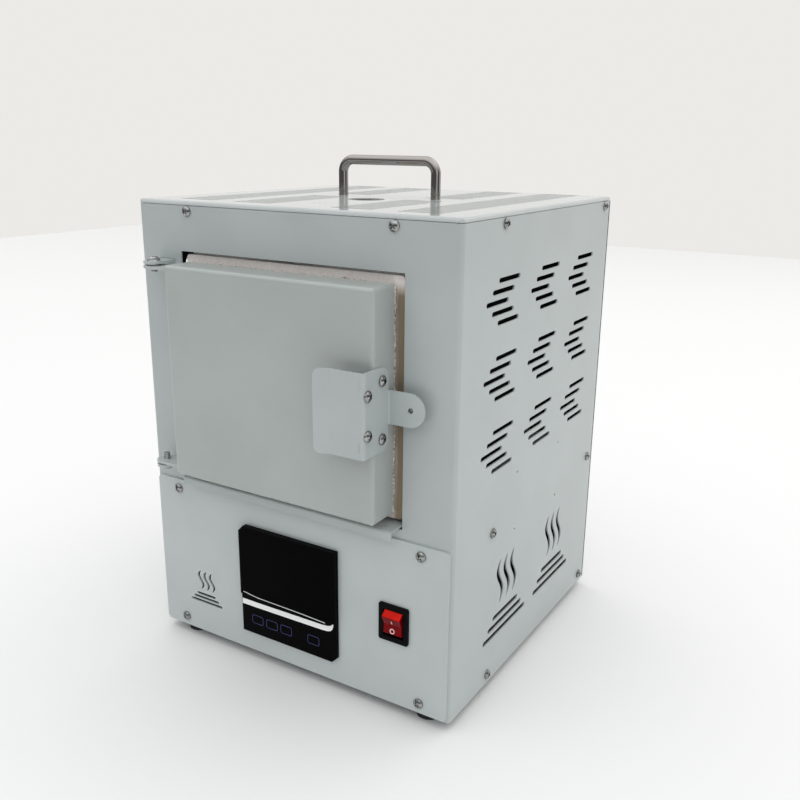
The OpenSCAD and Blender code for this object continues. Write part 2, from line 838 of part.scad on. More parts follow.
module thermocouple_head() {
    color([0.70, 0.71, 0.72]) raised()
        translate([0, muffle_back + muffle_sheet_t, probe_z]) face_rear() difference() {
            union() {
                cylinder(d = 26, h = 3);
                cylinder(d = 20, h = 24);
                translate([0, -6, 15]) rotate([90, 0, 0]) cylinder(d = 9, h = 10);
            }
            translate([0, 0, -cut]) cylinder(d = probe_d, h = 9);
        }
}

module exhaust_tube() {
    low = muffle_low + muffle_h - roof_t;
    lid_top = muffle_low + muffle_h + muffle_sheet_t;
    color([0.90, 0.87, 0.81]) raised() translate([0, exhaust_y, 0]) difference() {
        union() {
            translate([0, 0, low]) cylinder(r = tube_r, h = case_h - sheet_t - 1 - low);
            translate([0, 0, lid_top]) cylinder(r = tube_r + 4, h = 4);
        }
        translate([0, 0, low - cut]) cylinder(r = tube_bore, h = case_h - low + cut);
    }
}

// ---------- control bay ----------

module control_panel() {
    color(paint) raised() difference() {
        translate([0, front_y, panel_low + panel_h / 2]) rotate([90, 0, 0])
            linear_extrude(panel_t) rounded_rect(panel_w, panel_h, panel_r);
        translate([ctrl_x, front_y, ctrl_z]) rotate([90, 0, 0])
            linear_extrude(4 * panel_t, center = true)
                bezel_outline(ctrl_body + 0.5);
        translate([rocker_x, front_y, rocker_z]) rotate([90, 0, 0])
            linear_extrude(4 * panel_t, center = true)
                square([rocker_cut_w + 0.4, rocker_cut_h + 0.4], center = true);
        translate([front_steam_x, front_y, front_steam_z]) rotate([90, 0, 0])
            linear_extrude(4 * panel_t, center = true) steam_sign(34, 1.6, 3.5, 17, 7, 1.6);
        for (s = [-1, 1], z = panel_screw_z)
            translate([s * panel_screw_x, front_y, z]) face_front() screw_hole();
    }
}

// Outline of the controller, chamfered at its upper left and lower right corners
module bezel_outline(size) {
    h = size / 2;
    c = bezel_chamfer;
    polygon([[-h, -h], [h - c, -h], [h, -h + c], [h, h], [-h + c, h], [-h, h - c]]);
}

// Upper part of the bezel, above a slightly curved step
module bezel_upper(size) {
    arc_r = 5 * ctrl_size;
    intersection() {
        bezel_outline(size);
        union() {
            translate([-size, -ctrl_size / 2 + bezel_step + 2]) square([2 * size, size]);
            translate([0, arc_r - ctrl_size / 2 + bezel_step]) circle(r = arc_r, $fn = 360);
        }
    }
}

module at_controller() {
    raised() translate([ctrl_x, panel_front, ctrl_z]) rotate([90, 0, 0]) children();
}

module controller_bezel() {
    color(black) at_controller() difference() {
        union() {
            linear_extrude(bezel_t) bezel_outline(ctrl_size);
            linear_extrude(bezel_high) bezel_upper(ctrl_size);
        }
        translate([0, 0, bezel_high - window_t]) linear_extrude(bezel_high)
            window_outline(ctrl_size - 2 * window_rim);
    }
}

module window_outline(size) {
    h = size / 2;
    c = bezel_chamfer;
    low = -ctrl_size / 2 + bezel_step + 3;
    polygon([[-h, low], [h, low], [h, h], [-h + c, h], [-h, h - c]]);
}

module controller_window() {
    color([0.02, 0.02, 0.03]) at_controller()
        translate([0, 0, bezel_high - window_t]) linear_extrude(window_t)
            window_outline(ctrl_size - 2 * window_rim - 0.3);
}

module controller_body() {
    color([0.10, 0.10, 0.11]) at_controller() difference() {
        translate([0, 0, -ctrl_depth]) linear_extrude(ctrl_depth) bezel_outline(ctrl_body);
        for (i = [-3:3]) for (s = [-1, 1])
            translate([i * 10, s * 28, -ctrl_depth]) cube([6, 12, 8], center = true);
    }
}

// Two clips that pull the controller against the panel from behind
module controller_clamps() {
    color([0.10, 0.10, 0.11]) at_controller() for (s = [-1, 1]) {
        translate([s * (ctrl_body / 2 + 2), 0, -panel_t - 15])
            cube([4, 22, 30], center = true);
        translate([s * (ctrl_body / 2 + 5), 0, -panel_t - 4]) cube([10, 22, 8], center = true);
    }
}

module at_rocker() {
    raised() translate([rocker_x, panel_front, rocker_z]) rotate([90, 0, 0]) children();
}

module rocker_frame() {
    hole_w = rocker_w + 2 * rocker_play;
    hole_h = 2 * (rocker_r + rocker_play);
    color(black) at_rocker() difference() {
        union() {
            linear_extrude(rocker_frame_t) rounded_rect(rocker_frame_w, rocker_frame_h, 1.5);
            translate([-rocker_cut_w / 2, -rocker_cut_h / 2, -rocker_body_d])
                cube([rocker_cut_w, rocker_cut_h, rocker_body_d]);
        }
        translate([-hole_w / 2, -hole_h / 2, -rocker_body_d + 2])
            cube([hole_w, hole_h, rocker_body_d + rocker_frame_t]);
        translate([0, 0, panel_front - rocker_pivot_y]) rotate([0, 90, 0])
            cylinder(r = rocker_pin_r + pin_fit, h = rocker_w + 3, center = true);
    }
}

module rocker_tabs() {
    color(brass) at_rocker() for (x = [-5, 5], y = [-8, 0, 8])
        translate([x, y, -rocker_body_d - 4]) cube([0.8, 4.8, 8], center = true);
}

// Rocker in its off position: lower half level, upper half standing out
module rocker_button() {
    color([0.78, 0.06, 0.05]) at_rocker()
        translate([0, 0, panel_front - rocker_pivot_y]) rotate([rocker_tilt, 0, 0]) {
            rotate([90, 0, 90]) linear_extrude(rocker_w, center = true) difference() {
                circle(r = rocker_r);
                translate([-20, -22]) square([40, 18]);
                for (s = [-1, 1]) mirror([s < 0 ? 1 : 0, 0]) translate([0, rocker_rise])
                    rotate([0, 0, rocker_tilt]) square([20, 20]);
                translate([-0.01, rocker_rise]) square([0.02, 20]);
            }
            rotate([0, 90, 0]) cylinder(r = rocker_pin_r, h = rocker_w + 2.4, center = true);
        }
}

module heat_sink() {
    fin_h = sink_h - sink_plate_t / 2;
    color([0.72, 0.73, 0.74]) raised() translate([sink_x - sink_w / 2, 0, sheet_t]) {
        for (i = [0:fin_n - 1]) translate([i * fin_pitch, 0, 0]) cube([fin_t, sink_l, fin_h]);
        translate([0, 0, sink_h - sink_plate_t]) cube([sink_w, sink_l, sink_plate_t]);
    }
}

module relay() {
    color([0.85, 0.85, 0.83]) raised() translate([sink_x, sink_l / 2, sheet_t + sink_h]) difference() {
        translate([-relay_w / 2, -relay_l / 2, 0]) cube([relay_w, relay_l, relay_h]);
        for (sx = [-1, 1], sy = [-1, 1])
            translate([sx * (relay_w / 2 - 10), sy * (relay_l / 2 - 7), relay_h])
                cylinder(d = 9, h = 8, center = true);
        for (s = [-1, 1]) translate([0, s * (relay_l / 2 - 5), relay_h / 2])
            cylinder(d = 4.5, h = relay_h + 2 * cut, center = true);
    }
}

module terminal_block() {
    length = terminal_n * terminal_pitch;
    color([0.90, 0.88, 0.82]) raised() translate([terminal_x, terminal_y, sheet_t]) difference() {
        translate([-length / 2, -terminal_w / 2, 0]) cube([length, terminal_w, terminal_h]);
        for (i = [0:terminal_n - 1], s = [-1, 1])
            translate([(i + 0.5) * terminal_pitch - length / 2, s * 5, terminal_h])
                cylinder(d = 6, h = 8, center = true);
        for (i = [1:terminal_n - 1])
            translate([i * terminal_pitch - length / 2, 0, terminal_h])
                cube([1.5, terminal_w + 2 * cut, 6], center = true);
    }
}

module inlet_shape(w, h) {
    c = 4;
    polygon([[-w / 2, -h / 2], [w / 2, -h / 2], [w / 2, h / 2 - c], [w / 2 - c, h / 2],
        [-w / 2 + c, h / 2], [-w / 2, h / 2 - c]]);
}

module at_inlet() {
    raised() translate([inlet_x, rear_y, inlet_z]) rotate([90, 0, 180]) children();
}

module power_inlet() {
    color(black) at_inlet() difference() {
        union() {
            linear_extrude(3) intersection() {
                square([inlet_flange_w, inlet_flange_h], center = true);
                circle(d = inlet_flange_w + 1);
            }
            translate([0, 0, -24]) linear_extrude(24.5) inlet_shape(inlet_w + 3, inlet_h + 3);
        }
        translate([0, 0, -17]) linear_extrude(30) inlet_shape(inlet_w, inlet_h);
        for (s = [-1, 1]) translate([s * inlet_screw_x, 0, 0]) cylinder(d = 3.4, h = 20, center = true);
        inlet_blades(0.1);
    }
}

// The three blades of the inlet, or their slots when grown by a clearance
module inlet_blades(grow) {
    for (p = [[-7, -2], [7, -2], [0, 3.5]])
        translate([p[0], p[1], -13]) cube([2 + 2 * grow, 4 + 2 * grow, 22 + 2 * grow], center = true);
}

module inlet_pins() {
    color(zinc) at_inlet() {
        inlet_blades(0);
        for (p = [[-7, -2], [7, -2], [0, 3.5]])
            translate([p[0], p[1], -29]) cube([0.8, 4, 12], center = true);
    }
}

// ---------- hinge ----------

// Ear outline: a strip from x = 0 to the axis at reach, with a full-round end and its bore
module ear_outline(reach, bore_d) {
    difference() {
        union() {
            translate([0, -ear_w / 2]) square([reach, ear_w]);
            translate([reach, 0]) circle(d = ear_w);
        }
        translate([reach, 0]) circle(d = bore_d);
    }
}

// Ears welded behind the casing front and passing out through its slots
module casing_ears() {
    color(paint) raised() for (z = casing_ear_z) translate([pin_x, 0, z]) {
        translate([0, inner_front, 0]) rotate([0, 0, -90])
            linear_extrude(ear_t) ear_outline(inner_front - pin_y, pin_d + 2 * pin_fit);
        translate([-ear_w / 2, inner_front, 0]) cube([ear_w, ear_t, ear_leg]);
    }
}

// Ears on the door's left side, each with a leg along that side
module door_ears() {
    color(paint) raised() for (i = [0, 1]) translate([-door_side, pin_y, door_ear_z[i]]) {
        rotate([0, 0, 180]) linear_extrude(ear_t) ear_outline(pin_reach, pin_d + 2 * pin_fit);
        leg_low = i == 0 ? ear_t - ear_leg : 0;
        translate([-ear_t, -ear_w / 2, leg_low]) cube([ear_t, ear_w, ear_leg]);
    }
}

module hinge_screws() {
    length = 2 * ear_t + ear_gap + pin_tail;
    color(zinc) raised() {
        translate([pin_x, pin_y, casing_ear_z[0] + ear_t])
            pan_screw(pin_d, pin_head_d, pin_head_h, length);
        translate([pin_x, pin_y, casing_ear_z[1]]) rotate([180, 0, 0])
            pan_screw(pin_d, pin_head_d, pin_head_h, length + 2);
    }
}

module hinge_washers() {
    washer_t = ear_gap - 0.1;
    color(zinc) raised() for (z = [casing_ear_z[0] - washer_t, casing_ear_z[1] + ear_t])
        translate([pin_x, pin_y, z]) difference() {
            cylinder(d = 2 * pin_d, h = washer_t);
            translate([0, 0, -cut]) cylinder(d = pin_d + 2 * pin_fit, h = 2 * ear_gap + 2 * cut);
        }
}

// ---------- door ----------

module door_shell() {
    color(paint) raised() difference() {
        translate([0, door_back, door_z]) rotate([90, 0, 0])
            round_top_pan(door_w, door_h, door_depth, bend_r, sheet_t);
        for (t = [-1, 1])
            translate([door_side, door_screw_y, door_z + t * door_screw_z]) face_side(1)
                cylinder(d = screw_d + 2 * screw_clear, h = 10, center = true);
    }
}

module door_board() {
    fit = 2 * sheet_t + 0.6;
    depth = door_depth - sheet_t + board_proud;
    color(fibre) raised() difference() {
        translate([0, door_back + board_proud, door_z]) rotate([90, 0, 0])
            round_top_block(door_w - fit, door_h - fit, depth, bend_r);
        for (t = [-1, 1])
            translate([door_side, door_screw_y, door_z + t * door_screw_z]) face_side(1)
                cylinder(d = screw_d + 2 * screw_clear, h = 24, center = true);
    }
}

module door_plug() {
    color(fibre) raised()
        translate([0, front_y + muffle_recess + plug_depth, muffle_z]) rotate([90, 0, 0])
            linear_extrude(plug_depth + muffle_recess + door_stand - board_proud)
                rounded_rect(chamber_w - 2 * plug_gap, chamber_h - 2 * plug_gap, 3);
}

// ---------- latch ----------

// At the flange's outer face, the grip's front face and the middle of the door's height
module at_latch() {
    raised() translate([flange_x, grip_front, door_z]) children();
}

// Section of the latch from above: flange, front bend, grip and the lip bent outwards
module latch_section() {
    translate([-latch_t, latch_out]) square([latch_t, flange_l - latch_out]);
    translate([-latch_out, latch_out]) mirror([0, 1]) quarter_bend(latch_out, latch_t);
    translate([-grip_w, 0]) square([grip_w - latch_out, latch_t]);
    translate([-grip_w, -lip_bend])
        polygon(concat(lip_side(lip_bend, 6), lip_side_back(lip_bend + latch_t, 6)));
}
// One side of the lip, from the grip round the bend to the lip's end, and the other way
function lip_side(r, n) = concat(
    [for (i = [0:n]) [-r * sin(i * lip_angle / n), r * cos(i * lip_angle / n)]],
    [[-r * sin(lip_angle) - lip_l * cos(lip_angle), r * cos(lip_angle) - lip_l * sin(lip_angle)]]);
function lip_side_back(r, n) = [for (p = [n + 1:-1:0]) lip_side(r, n)[p]];

// Corner to cut away, in the first quadrant, leaving a radius r
module corner_cut(r) {
    difference() {
        translate([-cut, -cut]) square(r + cut);
        translate([r, r]) circle(r = r);
    }
}

module latch() {
    color(paint) at_latch() difference() {
        union() {
            translate([0, 0, -grip_h / 2]) linear_extrude(grip_h) latch_section();
            translate([latch_bend, flange_l, -tongue_w / 2]) linear_extrude(tongue_w)
                mirror([1, 0]) quarter_bend(latch_out, latch_t);
            translate([latch_bend, tongue_back + latch_t, 0]) rotate([90, 0, 0])
                linear_extrude(latch_t) {
                    reach = tongue_reach - latch_bend - tongue_w / 2;
                    translate([0, -tongue_w / 2]) square([reach, tongue_w]);
                    translate([reach, 0]) circle(d = tongue_w);
                }
        }
        translate([tongue_hole_x - flange_x, tongue_back, 0]) face_front()
            cylinder(d = tongue_hole_d, h = 10, center = true);
        for (t = [-1, 1]) {
            translate([0, door_screw_back, t * door_screw_z]) face_side(1)
                cylinder(d = screw_d + 2 * screw_clear, h = 8, center = true);
            translate([0, grip_screw_back, t * grip_screw_z]) face_side(1)
                cylinder(d = screw_d + 2 * screw_clear, h = 8, center = true);
            translate([tab_x - latch_t / 2, latch_t / 2, t * tab_z])
                cube([1.1, 4 * latch_t, tab_l + 0.2], center = true);
        }
        // rounded free corners of the lip and of the flange
        for (m = [0, 1]) mirror([0, 0, m]) translate([0, 0, -grip_h / 2]) {
            translate([-grip_w, -lip_bend, 0]) rotate([0, 0, lip_angle])
                translate([-lip_l, 2 * lip_bend, 0]) rotate([90, 0, 0])
                    linear_extrude(2 * lip_bend) corner_cut(latch_corner);
            translate([3, flange_l, 0]) rotate([90, 0, -90])
                linear_extrude(8) corner_cut(flange_corner);
        }
    }
}

// Angle behind the grip, with two tabs that show in the grip's slits
module latch_stiffener() {
    leg = finger_gap - 3.5;
    height = grip_h - 8;
    color(paint) at_latch() difference() {
        union() {
            translate([-2 * latch_t, latch_out, -height / 2]) cube([latch_t, leg, height]);
            translate([-grip_w + 4, latch_t, -height / 2])
                cube([grip_w - latch_out - 4.2, latch_t, height]);
            for (t = [-1, 1]) translate([tab_x - latch_t / 2, latch_t, t * tab_z])
                cube([0.9, 2 * latch_t, tab_l], center = true);
        }
        for (t = [-1, 1]) translate([-latch_t, grip_screw_back, t * grip_screw_z]) face_side(1)
            cylinder(d = screw_d, h = 8, center = true);
    }
}

module latch_screws() {
    color(zinc) at_latch() for (t = [-1, 1]) {
        translate([0, door_screw_back, t * door_screw_z]) face_side(1) casing_screw();
        translate([0, grip_screw_back, t * grip_screw_z]) face_side(1)
            pan_screw(screw_d, screw_head_d, screw_head_h, 2 * latch_t + 1);
    }
}

// Stud that the closed tongue rests against; its tip stands in the tongue's hole
module catch_stud() {
    color(zinc) raised() translate([tongue_hole_x, front_y, door_z]) face_front() {
        cylinder(d = 10, h = tongue_stand - 0.3);
        cylinder(d = tongue_hole_d - 1.6, h = tongue_stand + 1);
        translate([0, 0, -8]) cylinder(d = screw_d, h = 8);
    }
}

module catch_nut() {
    color(zinc) raised() translate([tongue_hole_x, inner_front, door_z]) face_rear() difference() {
        cylinder(d = 8, h = 3.2, $fn = 6);
        translate([0, 0, -cut]) cylinder(d = screw_d, h = 6);
    }
}

// ---------- handle, feet and casing screws ----------

module carry_handle() {
    leg_h = bar_z - handle_bend - case_h;
    color([0.85, 0.85, 0.86]) raised() difference() {
        union() {
            for (s = [-1, 1]) {
                translate([s * leg_x, 0, case_h]) cylinder(d = rod_d, h = leg_h);
                translate([s * (leg_x - handle_bend), 0, bar_z - handle_bend])
                    rotate([90, 0, 0]) rotate([0, 0, s > 0 ? 0 : 90])
                        rotate_extrude(angle = 90) translate([handle_bend, 0]) circle(d = rod_d);
            }
            translate([0, 0, bar_z]) rotate([0, 90, 0])
                cylinder(d = rod_d, h = handle_span - 2 * handle_bend, center = true);
        }
        for (s = [-1, 1]) translate([s * leg_x, 0, case_h - cut]) cylinder(d = screw_d, h = 13);
    }
}

module handle_screws() {
    color(zinc) raised() for (s = [-1, 1])
        translate([s * leg_x, 0, case_h - sheet_t]) rotate([180, 0, 0])
            pan_screw(screw_d, screw_head_d, screw_head_h, 10 + sheet_t);
}

module at_feet() {
    for (sx = [-1, 1], sy = [-1, 1]) translate([sx * foot_x, sy * foot_y, 0]) children();
}

module feet() {
    color([0.05, 0.05, 0.05]) at_feet() difference() {
        union() {
            cylinder(d = foot_d, h = foot_h - 1);
            cylinder(d = foot_d - 2, h = foot_h);
        }
        translate([0, 0, -cut]) cylinder(d = screw_head_d + 1, h = foot_h / 2 + cut);
        cylinder(d = screw_d + 2 * screw_clear, h = foot_h + cut);
    }
}

module foot_screws() {
    color(zinc) at_feet() translate([0, 0, foot_h / 2]) rotate([180, 0, 0])
        pan_screw(screw_d, screw_head_d, screw_head_h, foot_h / 2 + sheet_t + 4.5);
}

module foot_nuts() {
    color(zinc) at_feet() translate([0, 0, foot_h + sheet_t]) difference() {
        cylinder(d = 8, h = 3.2, $fn = 6);
        translate([0, 0, -cut]) cylinder(d = screw_d, h = 6);
    }
}

module casing_screws() {
    color(zinc) raised() for (s = [-1, 1]) {
        translate([s * top_screw_x, front_y, screw_rows_z[0]]) face_front() casing_screw();
        for (z = panel_screw_z)
            translate([s * panel_screw_x, panel_front, z]) face_front() casing_screw();
        for (z = [screw_rows_z[0], screw_rows_z[2]])
            translate([s * top_screw_x, rear_y, z]) face_rear() casing_screw();
        for (y = side_screw_y, z = screw_rows_z)
            translate([s * case_w / 2, y, z]) face_side(s) casing_screw();
        translate([inlet_x + s * inlet_screw_x, rear_y + 3, inlet_z]) face_rear()
            pan_screw(3, 5.6, 2, 8);
    }
}

casing_wrap();
top_cover();
base_tray();
rear_panel();
muffle_shelf();
muffle_case();
muffle_lid();
front_collar();
floor_board();
roof_board();
left_board();
right_board();
back_board();
hearth_plate();
heating_elements();
element_bushes();
element_clamps();
thermocouple_sheath();
thermocouple_head();
exhaust_tube();
control_panel();
controller_bezel();
controller_window();
controller_body();
controller_clamps();
rocker_frame();
rocker_tabs();
rocker_button();
relay();
heat_sink();
terminal_block();
power_inlet();
inlet_pins();
casing_ears();
hinge_screws();
hinge_washers();
door_shell();
door_ears();
door_board();
door_plug();
latch();
latch_stiffener();
latch_screws();
catch_stud();
catch_nut();
carry_handle();
handle_screws();
feet();
foot_screws();
foot_nuts();
casing_screws();
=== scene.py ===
import math

import bmesh
import bpy
from mathutils import Matrix, Vector, noise


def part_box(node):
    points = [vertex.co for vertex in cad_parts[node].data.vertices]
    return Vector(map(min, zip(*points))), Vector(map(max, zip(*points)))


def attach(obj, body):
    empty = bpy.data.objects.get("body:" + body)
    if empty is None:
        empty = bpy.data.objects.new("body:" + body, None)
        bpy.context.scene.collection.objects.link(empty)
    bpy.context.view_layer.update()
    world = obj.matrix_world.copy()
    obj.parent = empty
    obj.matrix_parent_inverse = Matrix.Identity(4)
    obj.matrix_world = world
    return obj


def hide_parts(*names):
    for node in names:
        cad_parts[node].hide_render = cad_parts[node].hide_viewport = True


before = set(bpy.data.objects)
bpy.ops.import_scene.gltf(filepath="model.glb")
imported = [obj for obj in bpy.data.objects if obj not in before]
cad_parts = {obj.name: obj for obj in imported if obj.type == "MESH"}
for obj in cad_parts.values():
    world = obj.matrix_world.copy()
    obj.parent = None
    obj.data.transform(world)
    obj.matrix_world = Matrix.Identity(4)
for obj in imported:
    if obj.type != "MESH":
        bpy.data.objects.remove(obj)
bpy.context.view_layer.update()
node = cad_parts

# ---- Camera ----
# It stands in front of the right corner, a little above the furnace, and is
# tipped by half a degree.
camera_data = bpy.data.cameras.new("camera")
camera_data.sensor_width = 36.0
camera_data.lens = 39.84
turn, tilt, roll = math.radians(31.429), math.radians(16.507), math.radians(0.610)
ahead = Vector((-math.sin(turn) * math.cos(tilt), math.cos(turn) * math.cos(tilt), -math.sin(tilt)))
right = Vector((math.cos(turn), math.sin(turn), 0))
upward = right.cross(ahead)
camera = bpy.data.objects.new("camera", camera_data)
camera.matrix_world = Matrix.Translation((0.40219, -0.63589, 0.42345)) @ Matrix((
    right * math.cos(roll) + upward * math.sin(roll),
    upward * math.cos(roll) - right * math.sin(roll),
    -ahead,
)).transposed().to_4x4()
bpy.context.scene.collection.objects.link(camera)
bpy.context.scene.camera = camera
bpy.context.scene.view_settings.view_transform = "Standard"


# ---- Sheet metal of the casing and the door ----
# Cold-rolled sheet, cut and folded, then powder coated light grey and baked.
# The powder leaves a fine orange peel with a half gloss.
def colour(code):
    """sRGB hex to linear RGBA."""
    parts = [int(code[i:i + 2], 16) / 255 for i in (1, 3, 5)]
    return [c / 12.92 if c <= 0.04045 else ((c + 0.055) / 1.055) ** 2.4 for c in parts] + [1]


def add_node(material, kind, settings={}, links={}):
    """One shader node, with its settings and what is linked into it."""
    made = material.node_tree.nodes.new("ShaderNode" + kind)
    for name, value in settings.items():
        if isinstance(name, int) or name in made.inputs:
            made.inputs[name].default_value = value
        elif name == "stops":
            ramp = made.color_ramp
            while len(ramp.elements) < len(value):
                ramp.elements.new(0.5)
            for stop, (place, code) in zip(ramp.elements, value):
                stop.position = place
                stop.color = colour(code)
        else:
            setattr(made, name, value)
    for name, socket in links.items():
        material.node_tree.links.new(socket, made.inputs[name])
    return made


def new_material(name):
    """An empty node material and its object coordinates."""
    material = bpy.data.materials.new(name)
    material.use_nodes = True
    material.node_tree.nodes.clear()
    return material, add_node(material, "TexCoord").outputs["Object"]


def close_material(material, shader):
    add_node(material, "OutputMaterial", links={"Surface": shader.outputs[0]})
    return material


def mottled(material, place, low, high, scale, detail=3, low_at=0.3, high_at=0.7):
    """A tone that wanders between two colours; gives its colour and the grain under it."""
    grain = add_node(material, "TexNoise", {"Scale": scale, "Detail": detail}, {"Vector": place})
    tone = add_node(material, "ValToRGB", {"stops": [(low_at, low), (high_at, high)]},
                    {"Fac": grain.outputs["Fac"]})
    return tone.outputs["Color"], grain.outputs["Fac"]


def rough_skin(material, grain, strength, distance):
    """Bump drawn from the grain."""
    bump = add_node(material, "Bump", {"Strength": strength, "Distance": distance}, {"Height": grain})
    return bump.outputs["Normal"]


def paint_nodes(material, *names):
    for name in names:
        node[name].data.materials.clear()
        node[name].data.materials.append(material)


def powder_coat(name, low, high, rough_low, rough_high, peel, ior):
    """Cloudy tone over 60 mm, orange peel drawn at 1.6 mm so that it shows."""
    material, place = new_material(name)
    tone, cloud = mottled(material, place, low, high, 16, low_at=0.35, high_at=0.65)
    skin = add_node(material, "TexNoise", {"Scale": 620, "Detail": 2, "Roughness": 0.4}, {"Vector": place})
    gloss = add_node(material, "MapRange", {"To Min": rough_low, "To Max": rough_high}, {"Value": cloud})
    shader = add_node(material, "BsdfPrincipled", {"IOR": ior},
                      {"Base Color": tone, "Roughness": gloss.outputs["Result"],
                       "Normal": rough_skin(material, skin.outputs["Fac"], peel, 0.00025)})
    return close_material(material, shader)


door_paint = powder_coat("powder coat, door", "#A7ADAA", "#ACB2AF", 0.28, 0.36, 0.10, 1.5)
casing_paint = powder_coat("powder coat, semi-gloss", "#AFB6B5", "#B4BBBA", 0.26, 0.34, 0.10, 1.5)
panel_paint = powder_coat("powder coat, control panel", "#B9C0BF", "#BEC5C4", 0.26, 0.34, 0.10, 1.5)
cover_paint = powder_coat("powder coat, gloss", "#B9BEBD", "#BFC3C2", 0.10, 0.16, 0.03, 1.34)
paint_nodes(casing_paint, "muffle_shelf", "casing_ears", "door_ears", "latch", "latch_stiffener")
paint_nodes(door_paint, "door_shell")
paint_nodes(cover_paint, "top_cover")

# ---- Casing sheet ----
# Front and sides are one sheet, folded twice. Chevrons of slots and a sign for
# heat, wavy lines over bars, are punched while it is flat. Its inner faces are
# painted nearly black: painted shade, so the slots look dark.
painted_shade_inside, place = new_material("painted shade on inner faces")
tone = mottled(painted_shade_inside, place, "#0B0C0D", "#131516", 300, low_at=0.35)[0]
shader = add_node(painted_shade_inside, "BsdfPrincipled", {"Roughness": 0.85, "Specular IOR Level": 0.2},
                  {"Base Color": tone})
close_material(painted_shade_inside, shader)


def joined_piece(name, made, material):
    """Turns a bmesh into a piece that stands at the origin."""
    mesh = bpy.data.meshes.new(name)
    made.to_mesh(mesh)
    made.free()
    mesh.materials.append(material)
    piece = bpy.data.objects.new(name, mesh)
    bpy.context.scene.collection.objects.link(piece)
    return piece


def verts_of(grown):
    return [g for g in grown if isinstance(g, bmesh.types.BMVert)]


def fill_in(plug, size, middle):
    """A block that closes what the node has punched there."""
    block = bmesh.ops.create_cube(plug, size=1)["verts"]
    bmesh.ops.scale(plug, vec=size, verts=block)
    bmesh.ops.translate(plug, vec=middle, verts=block)


def punch_bar(tool, centre, length, width, deep):
    """A round-ended bar, drawn in x and z and punching along y."""
    bar = bmesh.ops.create_cube(tool, size=1)["verts"]
    bmesh.ops.scale(tool, vec=(length, deep, width), verts=bar)
    bmesh.ops.translate(tool, vec=(centre[0], 0, centre[1]), verts=bar)
    corners = {e for v in bar for e in v.link_edges if abs(e.verts[0].co.y - e.verts[1].co.y) > deep / 2}
    bmesh.ops.bevel(tool, geom=list(corners), offset=width / 2.01, segments=5, profile=0.5,
                    affect="EDGES", material=-1)


def punch_wave(tool, foot, height, swing, width, deep, steps=16, tip_half=0.00008):
    """A wavy line with pointed ends, standing on its foot."""
    ends = [tool.verts.new((foot[0] + side * tip_half, -deep / 2, foot[1])) for side in (-1, 1)]
    edge = [tool.edges.new(ends)]
    band = []
    for k in range(1, steps + 1):
        t = k / steps
        half = max(tip_half, width / 2 * math.sqrt(max(0, math.sin(math.pi * t))))
        grown = bmesh.ops.extrude_edge_only(tool, edges=edge)["geom"]
        tips = sorted(verts_of(grown), key=lambda v: v.co.x)
        for side, tip in zip((-1, 1), tips):
            tip.co = (foot[0] + swing * math.sin(math.tau * t) + side * half, -deep / 2, foot[1] + height * t)
        edge = [g for g in grown if isinstance(g, bmesh.types.BMEdge) and all(v in tips for v in g.verts)]
        band += [g for g in grown if isinstance(g, bmesh.types.BMFace)]
    grown = bmesh.ops.extrude_face_region(tool, geom=band)["geom"]
    bmesh.ops.translate(tool, vec=(0, deep, 0), verts=verts_of(grown))


def heat_sign(tool, middle, aside, base, bar, bar_width, pitch, wave_height, wave_pitch, wave_width, deep):
    """Three bars that shorten upwards, and three wavy lines above them."""
    for k in range(3):
        punch_bar(tool, (middle, base + k * pitch), bar * (1 - 0.21 * k) + 0.0008, bar_width, deep)
    for k in (-1, 0, 1):
        foot = (middle + aside + k * wave_pitch, base + 3.3 * pitch)
        punch_wave(tool, foot, wave_height, wave_pitch * 0.36, wave_width, deep)


def repunched(name, source, plug, tool, paint, painted_shade_faces):
    """The node's sheet with the plug filled in and the tool punched through;
    the last argument picks the inner faces, which are painted near black as shade."""
    sheet = bmesh.new()
    sheet.from_mesh(node[source].data)
    bmesh.ops.remove_doubles(sheet, verts=sheet.verts, dist=0.000002)
    piece = joined_piece(name, sheet, paint)
    helpers = []
    for made, operation in ((plug, "UNION"), (tool, "DIFFERENCE")):
        bmesh.ops.recalc_face_normals(made, faces=made.faces)
        helper = joined_piece(operation.lower(), made, casing_paint)
        cut = piece.modifiers.new(operation.lower(), "BOOLEAN")
        cut.operation, cut.solver, cut.object = operation, "EXACT", helper
        helpers.append(helper)
    punched = bpy.data.meshes.new_from_object(piece.evaluated_get(bpy.context.evaluated_depsgraph_get()))
    piece.modifiers.clear()
    piece.data = punched
    for helper in helpers:
        bpy.data.objects.remove(helper)
    punched.materials.clear()
    punched.materials.append(paint)
    punched.materials.append(painted_shade_inside)
    # Inner faces take the second, near-black material: painted shade.
    for face in punched.polygons:
        face.use_smooth = False
        if painted_shade_faces(face.center):
            face.material_index = 1
    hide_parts(source)
    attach(piece, "root")


wrap_low, wrap_high = (Vector(corner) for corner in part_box("casing_wrap"))
sheet_thick = 0.0012
punch_deep = 0.004
skin_depth = 0.0001
foot_rise = 0.008
side_signs = (-0.0465, 0.0500)
slot_rows, slot_columns = (0.196, 0.2514, 0.3068), (-0.0750, 0.0, 0.0750)
slot_long, slot_wide, slot_pitch, chevron_step = 0.0352, 0.0036, 0.00745, 0.0093
plug = bmesh.new()
tool = bmesh.new()
for middle in side_signs:
    heat_sign(tool, middle, aside=0, base=foot_rise + 0.038, bar=0.078, bar_width=0.0042, pitch=0.0075,
              wave_height=0.039, wave_pitch=0.0123, wave_width=0.0056, deep=punch_deep)
for row in slot_rows:
    for column in slot_columns:
        for k in range(-2, 3):
            centre = (column + (abs(k) - 1) * chevron_step, foot_rise + row + k * slot_pitch)
            punch_bar(tool, centre, slot_long, slot_wide, punch_deep)
bmesh.ops.rotate(tool, cent=(0, 0, 0), matrix=Matrix.Rotation(math.pi / 2, 3, "Z"), verts=tool.verts)
